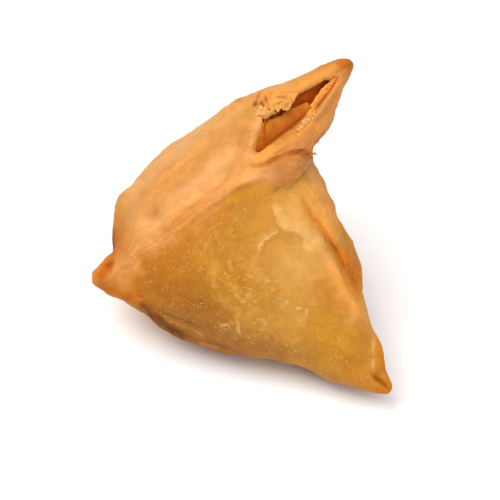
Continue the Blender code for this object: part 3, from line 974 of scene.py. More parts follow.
# A stroke's line, amount, width, faded ends and breaks; a patch's place, amount, width, length and turn. Each
# stain lies over those before it.
# Some of these are painted shade, painted shadows and painted highlights, each noted where it stands.
STAINS_AND_PAINTED_LIGHT = (
    # the front panel, from the horn along the seal, then down to the tip
    Stroke(Fry.ORANGE, ((-33, -8), (-27, -4.6), (-20, 0.6), (-12, 6.6), (-4, 12.6)), 0.75, 4.2),
    Stroke(Fry.SALMON, ((-39, -9), (-34.6, -9.6), (-29.6, -9.4)), 0.6, 2.8, 0.3),
    Stroke(Fry.ORANGE, ((-30, -6.4), (-22, -1.6), (-13, 4.6)), 0.5, 3, 0.2),
    Patch(Fry.OCHRE, (-16, -3.5), 0.45, 6, 9, -40),
    # the lower left is darker: partly its frying, partly painted shade
    Patch(Fry.OCHRE, (-21.6, -11.3), 0.85, 6.5, 13, -35),
    Patch(Fry.OCHRE, (-12.5, -15.5), 0.88, 6, 9, -30),
    Patch(Fry.OCHRE, (-5, 10.5), 0.4, 4, 7, 40),
    # the bottom edge is darker: partly its frying, partly painted shade where the panel turns under
    Stroke(Fry.DUSKY, ((-19, -18), (-10, -22.5), (-2, -24.5), (8, -27)), 0.85, 3.8),
    Patch(Fry.ORANGE, (-17, -3), 0.45, 6, 9, 35),
    Patch(Fry.YELLOW, (-6, -8), 0.45, 5, 8, -60),
    Patch(Fry.OCHRE, (-5, 5.4), 0.45, 4, 7, 60),
    Patch(Fry.OCHRE, (-3, -7.5), 0.35, 3.6, 5, -70),
    Stroke(Fry.CREAM, ((-9.6, -1.8), (-9.2, -11.8)), 0.28, 0.8, 0.3, 0.4),
    Stroke(Fry.CREAM, ((-5.8, -2.3), (-4.7, -6.2)), 0.4, 0.6, 0.3, 0.3),
    Stroke(Fry.CREAM, ((0.3, 0.4), (1.2, -5.1), (4.5, -11.2)), 0.26, 1.2, 0.3, 0.3),
    Stroke(Fry.CREAM, ((-0.5, -10.1), (0.3, -14)), 0.4, 0.7, 0.3, 0.3),
    Stroke(Fry.CREAM, ((-3.3, -15.1), (-3.4, -19), (-3.2, -22.9)), 0.5, 0.45, 0.2, 0.6),
    Stroke(Fry.CREAM, ((-2.2, -18.4), (4.5, -15.1)), 0.4, 0.9, 0.3, 0.3),
    Stroke(Fry.CREAM, ((-8.6, -11.2), (-6, -16.2)), 0.32, 0.6, 0.3, 0.4),
    Stroke(Fry.FLOUR, ((-8.2, -20.4), (-6.8, -19.9), (-5.4, -20.4), (-5.6, -21.6)), 0.65, 0.25, 0.1, 0.7),
    Patch(Fry.YELLOW, (-2, 8.5), 0.35, 5, 8, 40),
    Patch(Fry.OLIVE, (9.5, -19.4), 0.8, 4.6, 7, -15),
    Patch(Fry.MOSS, (6.3, -14.3), 0.75, 1, 2, 75),
    Stroke(Fry.YELLOW, ((20, -20), (26, -27)), 0.75, 4.6),
    # partly the skin's pale gold, partly a painted sheen of the soft light
    Patch(Fry.PALE_GOLD, (12.5, -3.6), 0.9, 8, 10, -60),
    Stroke(Fry.PALE_GOLD, ((12, 14), (16, 4), (22, -6), (27, -16)), 0.7, 3.6),
    Patch(Fry.ORANGE, (21.6, -13.2), 0.65, 3.2, 6, -50),
    Patch(Fry.GOLDEN, (9.4, 3.4), 0.45, 2.8, 4.4, -20),
    Stroke(Fry.CREAM, SMOOTH_EDGE, 0.78, 4.2, 0.25, hem=0.3),
    Stroke(Fry.CREAM, ((1.8, -1.1), (2.8, 0.1), (3.5, 2.4), (6.1, 3.8), (8, 5.7)), 0.5, 1.6, 0.2, hem=0.15),
    # painted shadow: a darker ochre on the lower right of the crack's raised edge
    Stroke(Fry.OCHRE, SKIN_CRACK, 0.45, 0.8, 0.15, hem=0.15),
    Patch(Fry.OCHRE, (26, -30), 0.45, 2.6, 4.6, -35),
    Stroke(Fry.ORANGE, ((27, -33.5), (33, -37.2)), 0.45, 2.6),
    # the pressed seal, the horn and the base panel above it
    Stroke(Fry.PEACH, ((-39, -9.5), (-36, -6.4), *SEAL_STEP), 0.9, 5, hem=0.35),
    Stroke(Fry.PEACH, ((-30, 6), (-18, 14), (-8, 22), (-3, 30)), 0.75, 5),
    Patch(Fry.PEACH, (-18, 21), 0.75, 8, 17, 42),
    Patch(Fry.PEACH, (-30, 12.5), 0.75, 6, 8, 60),
    Patch(Fry.PEACH, (-4, 35), 0.75, 5, 7, 40),
    Stroke(Fry.PEACH, ((-33, 13.6), (-26, 22), (-16, 31), (-6, 38)), 0.6, 2.4),
    Stroke(Fry.CREAM, ((-33, 14.6), (-26, 23), (-16, 32), (-6, 39)), 0.35, 1.8),
    Stroke(Fry.GLOWING, ((-29.8, 9.4), (-25.8, 15.6), (-22.6, 20.4), (-17, 25), (-12, 29)), 0.35, 0.9),
    # partly pale dough, partly a painted highlight along the band above the seal
    Stroke(Fry.CREAM, ((-31.6, 2.6), (-28.6, 4.6), (-23.6, 8.6), (-18, 12.4), (-12.8, 16.4), (-9, 19.6),
           (-4.4, 23.4)), 0.62, 1.6, 0.2),
    Stroke(Fry.SALMON, ((-33, -2), (-24, 3), (-16, 9.5), (-8, 15.5), (0, 20.5), (5, 23)), 0.9, 2.6, 0.15),
    Stroke(Fry.PINK, ((-28, 7), (-18, 13.6), (-11.5, 19.4), (-6, 26)), 0.75, 2),
    Stroke(Fry.PINK, ((-33, 15), (-24, 24), (-12, 34), (0, 41)), 0.25, 2.6),
    Stroke(Fry.YELLOW, ((-17, 30), (-8, 36), (-2, 40)), 0.2, 1.4),
    Stroke(Fry.CREAM, ((-20, 24.6), (-12, 31), (-3, 37.6)), 0.3, 1.6),
    Stroke(Fry.ORANGE, ((-25, 3.2), (-18, 8.9), (-11, 14.4)), 0.6, 0.9, 0.2),
    Stroke(Fry.CREAM, SEAL_STEP, 0.7, 0.38, 0.15, 0.5),
    Stroke(Fry.RUST, tuple((u + 0.9, v + 1.5) for u, v in SEAL_STEP[:5]), 0.35, 0.5, 0.2, 0.4),
    Stroke(Fry.ORANGE, tuple((u + 0.5, v - 0.9) for u, v in SEAL_STEP), 0.4, 0.6, 0.2),
    Stroke(Fry.YELLOW, ((-6, 13.6), (0, 15.4), (4, 16.6)), 0.55, 1.4),
    Stroke(Fry.PINK, ((0, 19.2), (3, 20.6), (5.2, 20.4)), 0.75, 1.8),
    Stroke(Fry.RUST, ((-36, -1.2), (-39.4, -3), (-42, -6.4)), 0.45, 1.4),
    Stroke(Fry.AMBER, ((-40.4, -7.2), (-37.6, -4)), 0.92, 1.5),
    Stroke(Fry.RED, ((-38.6, -4.2), (-37.2, -3.2)), 0.7, 0.8),
    # the horn's underside is darker: partly its frying, partly painted shade
    Stroke(Fry.AMBER, ((-40.5, -9.8), (-36.4, -10.8), (-31, -13)), 0.8, 2),
    # the left lobe's lower end is darker: partly its frying, partly painted shade where it turns under
    Stroke(Fry.AMBER, ((-36, -4), (-36.6, 0), (-36.2, 5), (-35.4, 10)), 0.9, 2.6, 0.45),
    Stroke(Fry.BROWN, ((-37.6, 8), (-37.6, 4.4), (-37, 0.6), (-36.4, -3)), 0.8, 0.9, 0.45),
    Stroke(Fry.RED, ((-35.6, 0.6), (-33.6, -0.2)), 0.35, 0.6),
    Stroke(Fry.SALMON, ((-37.4, -6), (-33, -5), (-28, -3.4)), 0.7, 2.2, 0.3),
    Stroke(Fry.PEACH, ((-38, -7.6), (-34, -7), (-30, -5.4)), 0.35, 1, 0.3, 0.5),
    # the belly under the front panel's edge: its own darker frying, with painted shade under the overhanging
    # edge and in the belly's creases
    Stroke(Fry.BROWN, ((-30.6, -14), (-26.6, -16.6), (-23.4, -19.4), (-20, -22.6), (-16.6, -25.4)), 0.98,
           1.7, 0.1),
    Stroke(Fry.OCHRE, ((-27, -14.6), (-20, -19.6), (-12, -23)), 0.5, 1.6),
    Stroke(Fry.DUSKY, ((-22.4, -16.6), (-16.4, -20.4), (-11.6, -23.6)), 0.8, 1.5),
    Stroke(Fry.PEACH, BELLY_FOLDS[3], 0.45, 0.5, 0.2, 0.6),
    Stroke(Fry.BROWN, BELLY_FOLDS[2], 0.35, 0.4, 0.2, 0.5),
    Stroke(Fry.BROWN, BELLY_FOLDS[4], 0.4, 0.4, 0.2, 0.5),
    Stroke(Fry.DUSKY, ((-17, -25), (-10, -27.2), (-2, -28.4)), 0.9, 1.8),
    Stroke(Fry.PEACH, ((-14, -24.8), (-8, -26.4)), 0.4, 0.6, 0.3, 0.6),
    # the side lobe, its crease and the layered tip
    Stroke(Fry.PALE_GOLD, ((17, 16), (20, 9)), 0.75, 4),
    Stroke(Fry.GLOWING, ((18, 17), (20.6, 10), (22, 5)), 0.5, 3),
    # painted highlights: glowing and pink along the side ridge's crest
    Stroke(Fry.GLOWING, ((18, 0), (21, -4), (25.4, -10), (29.4, -17), (31, -21)), 0.6, 1.6, 0.3),
    Stroke(Fry.PINK, ((19.4, 0.4), (22.4, -4.2), (25, -8.8)), 0.45, 0.8, 0.3, 0.5),
    Stroke(Fry.RUST, ((23.6, 3), (25.6, -1), (28, -5.4), (30.5, -11), (32, -15)), 0.9, 2.6, 0.4),
    Stroke(Fry.OCHRE, ((24.6, -1.6), (27.2, -6.4), (29.6, -11.4)), 0.65, 0.9, 0.35),
    Stroke(Fry.PALE_GOLD, ((24, 4), (26.4, 0.4), (28.4, -3.6)), 0.55, 0.8, 0.3, 0.6),
    # painted shade: rust, amber and red darken the side crease
    Stroke(Fry.RUST, ((11.4, 16.4), (14.8, 12.2), (17.8, 7.4), (22, 1.4)), 0.45, 1, 0.4),
    Stroke(Fry.AMBER, ((17.8, 7.4), (22, 1.4), (24.8, -3.4), (28, -9.6), (30, -14)), 0.75, 0.8, 0.35),
    Stroke(Fry.RED, ((20.6, 3.4), (23.8, -1.7), (26.7, -7.4)), 0.6, 0.35, 0.3, 0.5),
    Stroke(Fry.AMBER, ((24.4, 2.4), (27, -3), (29, -8)), 0.55, 1.1, 0.35, 0.7),
    Stroke(Fry.PALE_GOLD, LOBE_RIDGES[0], 0.45, 0.7, 0.2, 0.7),
    Stroke(Fry.PEACH, LOBE_RIDGES[1], 0.4, 0.7, 0.2, 0.7),
    Stroke(Fry.PALE_GOLD, ((31, -13), (34, -24)), 0.5, 1.8),
    Stroke(Fry.RUST, ((34.6, -25), (36, -33)), 0.65, 1.6),
    Stroke(Fry.RUST, ((35, -37.5), (37.5, -34.5)), 0.5, 1.6),
    # painted shade: darker amber and brown in the tip's crease
    Stroke(Fry.AMBER, ((32.8, -33), (37, -36.8)), 0.85, 0.6),
    Stroke(Fry.BROWN, ((33.6, -34.2), (36.4, -36.4)), 0.55, 0.3),
    # the neck and the ear
    Stroke(Fry.MAUVE, ((7.6, 19.6), (10.6, 21.4), (14.8, 23.6)), 0.95, 2.6),
    Stroke(Fry.AMBER, ((6.6, 17.6), (9.6, 19.4), (12.6, 21.6)), 0.3, 1.4),
    Stroke(Fry.PINK, ((9.4, 21.6), (13.2, 23.8)), 0.35, 0.9, 0.3, 0.5),
    Stroke(Mark.SPECKS, ((9.6, 20.6), (13.6, 22.4)), 0.9, 1.6),
    # painted shade: a darker amber line in the neck crease
    Stroke(Fry.AMBER, NECK_CREASE, 0.85, 0.6),
    Stroke(Fry.AMBER, EAR_SEAM, 0.45, 1),
    Stroke(Fry.PEACH, ((12.4, 28.6), (17, 33.2), (21, 38.6), (24.6, 45)), 0.6, 1.6),
    Stroke(Fry.RUST, EAR_HOLLOW, 0.3, 0.6),
    Stroke(Fry.PINK, EAR_EDGE, 0.55, 0.6),
    Stroke(Fry.PEACH, ((4, 41), (14, 44), (23, 48)), 0.8, 2.6),
    Stroke(Fry.GLOWING, ((12, 43.6), (18, 46.2), (23, 48.4)), 0.45, 1.8),
    Stroke(Fry.PINK, ((2, 42), (10, 45)), 0.4, 1.6),
    Stroke(Fry.PINK, ((0.6, 25), (1.6, 32), (3.6, 37)), 0.7, 1.7),
    Stroke(Fry.GLOWING, RIM_CREASES[0], 0.3, 0.5, 0.2, 0.4),
    Stroke(Fry.ORANGE, RIM_CREASES[1], 0.35, 0.6, 0.3, 0.6),
    Stroke(Fry.SALMON, LIP_RIDGES[1], 0.8, 0.5),
    Stroke(Fry.SALMON, ((9, 26.6), (15, 30.4), (19, 35), (22.6, 41.4)), 0.5, 1.5),
    Stroke(Fry.CREAM, LIP_RIDGES[0], 0.5, 0.4, 0.1, 0.6),
    Stroke(Fry.CREAM, LIP_RIDGES[2], 0.35, 0.4, 0.1, 0.6),
    Stroke(Fry.PEACH, ((8, 26.8), (14, 30.5), (20, 37), (25, 46)), 0.8, 2.8),
    # partly the lip's bright orange, partly a painted highlight along its band
    Stroke(Fry.GLOWING, ((3, 25.6), (8, 27), (13, 30.2), (17, 33.4)), 0.95, 2),
    Stroke(Fry.GLOWING, ((15.6, 37.2), (18.2, 41), (22.4, 46.2)), 0.8, 0.9),
    Stroke(Fry.SALMON, ((12.6, 27), (16.6, 29.4), (20.4, 33.6), (23, 39)), 0.7, 1.8),
    Stroke(Fry.MAUVE, ((18.4, 29), (21.6, 33.4), (23.2, 37.6)), 0.35, 1),
    Stroke(Fry.RUST, ((26, 46.6), (24, 41.6)), 0.55, 0.9),
    Stroke(Fry.AMBER, ((25.4, 50.4), (27.6, 48.6)), 0.8, 2),
    # painted shadow: ember along the groove under the tongue's lower edge
    Stroke(Fry.EMBER, LIP_GROOVE, 0.8, 0.35, 0.15),
    # painted highlight: a glowing orange patch on the crumpled lump by the ear's mouth
    Patch(Fry.GLOWING, (4.2, 42.4), 0.7, 1.6, 2.2, 60),
    # painted shade: darker ochre in the pits beside it
    Patch(Fry.OCHRE, (1.4, 39.7), 0.85, 0.5, 0.8, 60),
    Patch(Fry.OCHRE, (3.2, 39.2), 0.85, 0.5, 0.8, 100),
    Patch(Fry.OCHRE, (2.2, 41.6), 0.6, 0.4, 1, 70),
    # pale cracks in the skin
    Stroke(Fry.FLOUR, SKIN_CRACK, 0.4, 0.18, 0.1, 0.8),
    Stroke(Fry.FLOUR, LOW_CRACK, 0.7, 0.28, 0.1, 0.8),
    Stroke(Fry.CREAM, ((8.6, -14.6), (11, -17), (13.4, -18.6)), 0.35, 1.6),
    Stroke(Fry.FLOUR, CREASE_LEFT, 0.35, 0.3, 0.2, 0.9),
    Stroke(Fry.FLOUR, NECK_FLAP, 0.25, 0.3, 0.1, 0.9),
    # painted shadow: a darker ochre line just under the neck flap's edge
    Stroke(Fry.OCHRE, tuple((u, v - 0.7) for u, v in NECK_FLAP), 0.5, 0.5, 0.1, 0.3),
    # partly pale dough, partly a painted highlight on the tip layer's edge
    Stroke(Fry.FLOUR, TIP_LAYER, 0.25, 0.35, 0.1, 0.8),
    # dry spots, without gloss
    Stroke(Mark.DRY, ((-36.6, -1), (-36, 8)), 1, 3.2),
    Stroke(Mark.DRY, ((25, 2), (28, -5), (31, -13)), 1, 3.2),
    Stroke(Mark.DRY, ((18, 17), (24, 6)), 0.8, 3),
    Stroke(Mark.DRY, ((-31, -14), (-20, -22), (-8, -27)), 1, 3),
    Stroke(Mark.DRY, PLEAT, 0.7, 1.6),
    Stroke(Mark.DRY, ((8, 20), (15, 23.6)), 0.9, 3),
    Stroke(Mark.DRY, ((33, -22), (37, -34)), 0.8, 2.6),
    # where specks are thick, and where the skin is veined
    Patch(Mark.SPECKS, (-18, -10), 0.8, 9, 16, -40),
    Patch(Mark.SPECKS, (-19, -14.5), 0.8, 3.5, 8, -25),
    Patch(Mark.SPECKS, (-13.4, -0.5), 0.9, 2.5, 4, 60),
    Patch(Mark.SPECKS, (-6, 6), 0.7, 6, 11, 40),
    Patch(Mark.SPECKS, (8, -26), 1, 3, 15, -22),
    Patch(Mark.SPECKS, (-6, -21.5), 1, 2.4, 4, -20),
    Patch(Mark.SPECKS, (25.5, -32), 1, 2.4, 7, -35),
    Stroke(Mark.SPECKS, ((31.8, -25), (31.6, -32)), 0.8, 1.6),
    Stroke(Mark.SPECKS, SEAL_RIDGE, 0.6, 1.8),
    Stroke(Mark.SPECKS, ((14, 27.8), (19.5, 33.6)), 0.8, 1.6),
    Stroke(Mark.SPECKS, ((3, 25.4), (9, 28.4), (14.5, 32)), 0.9, 1.8),
    Stroke(Mark.SPECKS, ((-20, 17), (-10, 26)), 0.35, 8),
    Stroke(Mark.SPECKS, ((19, 14), (26, 0), (31, -14)), 0.5, 4),
    Patch(Mark.VEINS, (-1, -11), 1, 8, 12, -30),
    Patch(Mark.VEINS, (9, -18), 0.8, 6, 9, -20),
    Patch(Mark.VEINS, (-8, 3), 0.5, 7, 12, 35),
    Patch(Mark.VEINS, (24, -25), 0.5, 5, 8, -50),
)


@dataclass
class CrustSkin:
    """The samosa's crust, as a finer copy of the solid. Lengths are in mm."""

    panel: PanelFrame
    finish: CrustFinish
    name: str = "crust"
    # the skin, and how much less of it is smoothed at the ear's lips
    merge: float = 0.01
    voxel: float = 0.72
    smoothing: int = 6
    fine_smoothing: int = 3
    smoothing_factor: float = 0.5
    finer_facing: float = 0.16
    lips_middle: Spot = (14.0, 36.0, 4.0)
    lips_reach: float = 16.0
    lips_fade: float = 6.0
    lips_soft: float = 0.35
    # the pocket in the ear, and the rays that feel how shut in each spot is, for the painted shade there
    pocket_reach: float = 27.0
    pocket_rays: int = 24
    pocket_seed: int = 5
    pocket_lift: float = 0.15
    pocket_sight: float = 16.0
    pocket_shade_span: Span = (0.62, 0.93)
    # the pressed seal: where its fine lines are marked for the finish, and where they are raised
    seal_reach: float = 6.0
    seal_band: Span = (-1.6, -0.9, 2.0, 3.2)
    seal_run: Span = (0.0, 0.1, 0.36, 0.56)
    line_band: Span = (-2.2, -1.0, 1.8, 3.4)
    line_run: Span = (0.0, 0.12, 0.4, 0.62)
    line_period: float = 1.44
    line_depth: float = 0.08
    line_wander: float = 0.12
    # the relief: blisters' domes, then swells and knobs all over
    dome_height: float = 0.26
    dome_uneven: float = 0.35
    swells: Lumps = Lumps(7.0, 11)
    swell_height: float = 0.22
    knobs: tuple[Lumps, Lumps] = (Lumps(2.4, 12), Lumps(1.0, 13))
    knob_heights: tuple[float, float] = (0.09, 0.07)
    front_calm: float = 0.6
    relief_facing: Span = (0.0, 0.35)
    fold_wander: Lumps = Lumps(2.2, 14)
    blister_wander: Lumps = Lumps(0.9, 15)
    # the stains and the painted shade and highlights, and how far they drift off their drawn places
    drift: float = 0.9
    drift_share: float = 0.35
    stain_facing: Span = (-0.35, 0.05)
    stain_wander: tuple[Lumps, Lumps] = (Lumps(3.2, 31), Lumps(3.2, 32))
    fine_wander: tuple[Lumps, Lumps] = (Lumps(1.1, 33), Lumps(1.1, 34))
    fine_wander_share: float = 0.35
    stroke_grain: Lumps = Lumps(1.3, 35)
    hidden_specks: tuple[float, float, Lumps] = (0.35, 0.6, Lumps(8.0, 25))

    def build(self) -> Object:
        """Makes the crust: copy, finer skin, relief, browning with painted shade and highlights.

        Returns:
            The crust object.
        """
        obj = self.copy_solid()
        self.make_finer(obj)
        self.work_relief(obj)
        self.brown(obj)
        obj.data.materials.clear()
        obj.data.materials.append(self.finish.material(self.name))
        obj.data.shade_smooth()
        return obj

    def copy_solid(self) -> Object:
        """Copies the solid's mesh and merges its loose triangles.

        Returns:
            The copy.
        """
        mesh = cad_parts[SOLID].data.copy()
        obj = bpy.data.objects.new(self.name, mesh)
        bpy.context.scene.collection.objects.link(obj)
        select_only(obj)
        bpy.ops.object.mode_set(mode="EDIT")
        bpy.ops.mesh.select_all(action="SELECT")
        bpy.ops.mesh.remove_doubles(threshold=self.merge * MM)
        bpy.ops.object.mode_set(mode="OBJECT")
        return obj

    def make_finer(self, obj: Object) -> None:
        """Gives an even skin, finer on the side that faces out of the panel, and takes the facets off.

        Args:
            obj: The crust.
        """
        apply(obj, "REMESH", mode="VOXEL", voxel_size=self.voxel * MM)
        self.smooth(obj, self.smoothing)
        wanted = self.panel.direction_to_panel(read_points(obj.data, "normal"))[:, 2] > self.finer_facing
        bpy.ops.object.mode_set(mode="EDIT")
        bpy.ops.mesh.select_all(action="DESELECT")
        bpy.ops.object.mode_set(mode="OBJECT")
        for face in obj.data.polygons:
            face.select = all(wanted[i] for i in face.vertices)
        bpy.ops.object.mode_set(mode="EDIT")
        bpy.ops.mesh.select_mode(type="FACE")
        bpy.ops.mesh.subdivide(number_cuts=1, smoothness=0.0)
        bpy.ops.object.mode_set(mode="OBJECT")
        self.smooth(obj, self.fine_smoothing)

    def smooth(self, obj: Object, times: int) -> None:
        """Smooths the skin, and less of it at the ear's thin lips.

        Args:
            obj: The crust.
            times: How many passes.
        """
        group = obj.vertex_groups.new(name="soft")
        away = self.from_lips(self.panel.to_panel(read_points(obj.data)))
        soft = np.clip((away - self.lips_reach) / self.lips_fade, self.lips_soft, 1.0).round(2)
        for level in np.unique(soft):
            group.add(np.nonzero(soft == level)[0].tolist(), float(level), "REPLACE")
        apply(obj, "SMOOTH", factor=self.smoothing_factor, iterations=times, vertex_group=group.name)
        obj.vertex_groups.clear()

    def from_lips(self, place: Points) -> Points:
        """How far from the middle of the ear's lips places lie."""
        return np.linalg.norm(place - np.array(self.lips_middle), axis=1)

    def work_relief(self, obj: Object) -> None:
        """Presses in the creases and raises the layers and blisters, inside the solid's box.

        Args:
            obj: The crust.
        """
        mesh = obj.data
        place = self.panel.to_panel(read_points(mesh))
        place += sum(nudge.pull(place) for nudge in NUDGES)
        write_points(mesh, self.panel.to_row(place))
        points = read_points(mesh)
        normal = read_points(mesh, "normal")
        facing = soft_step(self.panel.direction_to_panel(normal)[:, 2], *self.relief_facing)
        rough = sum(height * lumps.at(place) for height, lumps in zip(self.knob_heights, self.knobs))
        move = self.swell_height * self.swells.at(place) + rough * (1 - self.front_calm * facing)
        front = np.nonzero(facing > 0)[0]
        at = place[front, :2]
        grain = self.fold_wander.at(place[front])
        relief = sum(fold.height(at, grain) for fold in FOLDS)
        relief += sum(pit.height(at) for pit in PITS)
        relief += self.seal_lines(at, grain)
        relief += self.raise_blisters(at, self.blister_wander.at(place[front]))
        move[front] += relief * facing[front]
        points += normal * (move * MM)[:, None]
        write_points(mesh, np.clip(points, np.array(CAD_LOW), np.array(CAD_HIGH)))

    def seal_lines(self, at: Points, grain: Points) -> Points:
        """The fine parallel lines that fingers pressed along the seal.

        Args:
            at: Places, across and up.
            grain: Noise at those places, which makes the lines wander.

        Returns:
            One height for each place, in mm.
        """
        signed, share = SkinLine(SEAL_RIDGE).near(at)
        band = soft_band(signed, *self.line_band)
        wave = np.cos(2 * math.pi * (signed + self.line_wander * grain) / self.line_period)
        return self.line_depth * wave * band * soft_band(share, *self.line_run)

    def raise_blisters(self, at: Points, grain: Points) -> Points:
        """The domes of all the blisters.

        Args:
            at: Places, across and up.
            grain: Noise at those places, which makes the domes uneven.

        Returns:
            One height for each place, in mm.
        """
        height = np.zeros(len(at))
        for across, up, radius in np.vstack([patch.scatter() for patch in BLISTERS]):
            away = np.hypot(at[:, 0] - across, at[:, 1] - up) * (1 + self.dome_uneven * grain)
            hit = away < radius
            dome = (1 - (away[hit] / radius) ** 2) ** 1.5
            height[hit] = np.maximum(height[hit], self.dome_height * radius * dome)
        return height

    def brown(self, obj: Object) -> None:
        """Keeps on the mesh how each spot was fried, with painted shade, shadows and highlights among the
        stains and painted shade deep in the ear's pocket.

        Args:
            obj: The crust.
        """
        mesh = obj.data
        place = self.panel.to_panel(read_points(mesh))
        normal = self.panel.direction_to_panel(read_points(mesh, "normal"))
        front = soft_step(normal[:, 2], *self.stain_facing)
        drift = np.column_stack([lumps.at(place) for lumps in self.stain_wander])
        drift += self.fine_wander_share * np.column_stack([lumps.at(place) for lumps in self.fine_wander])
        grain = self.stroke_grain.at(place)
        at = place[:, :2]
        colour = blend_rows(self.hidden_sides(place), Fry.GOLDEN.colour, front)
        marks = {mark: np.zeros(len(at)) for mark in Mark}
        for stain in STAINS_AND_PAINTED_LIGHT:
            moved = at + min(self.drift, self.drift_share * stain.width) * drift
            share = stain.share(moved, grain) * front
            if isinstance(stain.fry, Mark):
                marks[stain.fry] = 1 - (1 - marks[stain.fry]) * (1 - np.clip(share, 0, 1))
            else:
                colour = blend_rows(colour, stain.fry.colour, share)
        # painted shade: spots deep in the ear's pocket, which see little of the open, are coloured ember
        colour = blend_rows(colour, Fry.EMBER.colour, self.painted_hollow_shade(obj, place))
        signed, along = SkinLine(SEAL_RIDGE).near(at, self.seal_reach)
        band = soft_band(signed, *self.seal_band)
        marks[Mark.SEAL] = band * front * soft_band(along, *self.seal_run)
        marks[Mark.ACROSS] = np.clip(signed, -self.seal_reach, self.seal_reach)
        level, swing, lumps = self.hidden_specks
        marks[Mark.SPECKS] += (1 - front) * np.clip(level + swing * lumps.at(place), 0, 1)
        write_colour_and_marks(mesh, colour, marks)

    def hidden_sides(self, place: Points) -> Points:
        """The colours of the back, the belly and the underside, finished like what shows.

        Args:
            place: The crust's vertices, in the panel frame.

        Returns:
            Rows of red, green and blue.
        """
        colour = np.tile(Fry.GOLDEN.colour, (len(place), 1))
        for fry, level, swing, lumps in (
            (Fry.PALE_GOLD, 0.35, 0.6, Lumps(12.0, 23)),
            (Fry.YELLOW, 0.2, 0.6, Lumps(9.0, 22)),
            (Fry.ORANGE, 0.1, 0.7, Lumps(8.0, 24)),
            (Fry.OCHRE, 0.25, 0.7, Lumps(14.0, 21)),
        ):
            colour = blend_rows(colour, fry.colour, level + swing * lumps.at(place))
        return colour

    def painted_hollow_shade(self, obj: Object, place: Points) -> Points:
        """Painted shade in the ear's pocket: how deep each spot lies, from how much of the open it sees.

        Args:
            obj: The crust.
            place: Its vertices, in the panel frame.

        Returns:
            0 outside, up to 1 deep inside.
        """
        share = np.zeros(len(place))
        skin = BVHTree.FromObject(obj, bpy.context.evaluated_depsgraph_get())
        rays = np.random.default_rng(self.pocket_seed).normal(size=(self.pocket_rays, 3))
        rays /= np.linalg.norm(rays, axis=1)[:, None]
        points, normals = read_points(obj.data), read_points(obj.data, "normal")
        for i in np.nonzero(self.from_lips(place) < self.pocket_reach)[0]:
            start = Vector(points[i] + normals[i] * self.pocket_lift * MM)
            ways = (Vector(ray if ray @ normals[i] > 0 else -ray) for ray in rays)
            blocked = (skin.ray_cast(start, way, self.pocket_sight * MM)[0] is not None for way in ways)
            share[i] = sum(blocked) / len(rays)
        return soft_step(share, *self.pocket_shade_span)


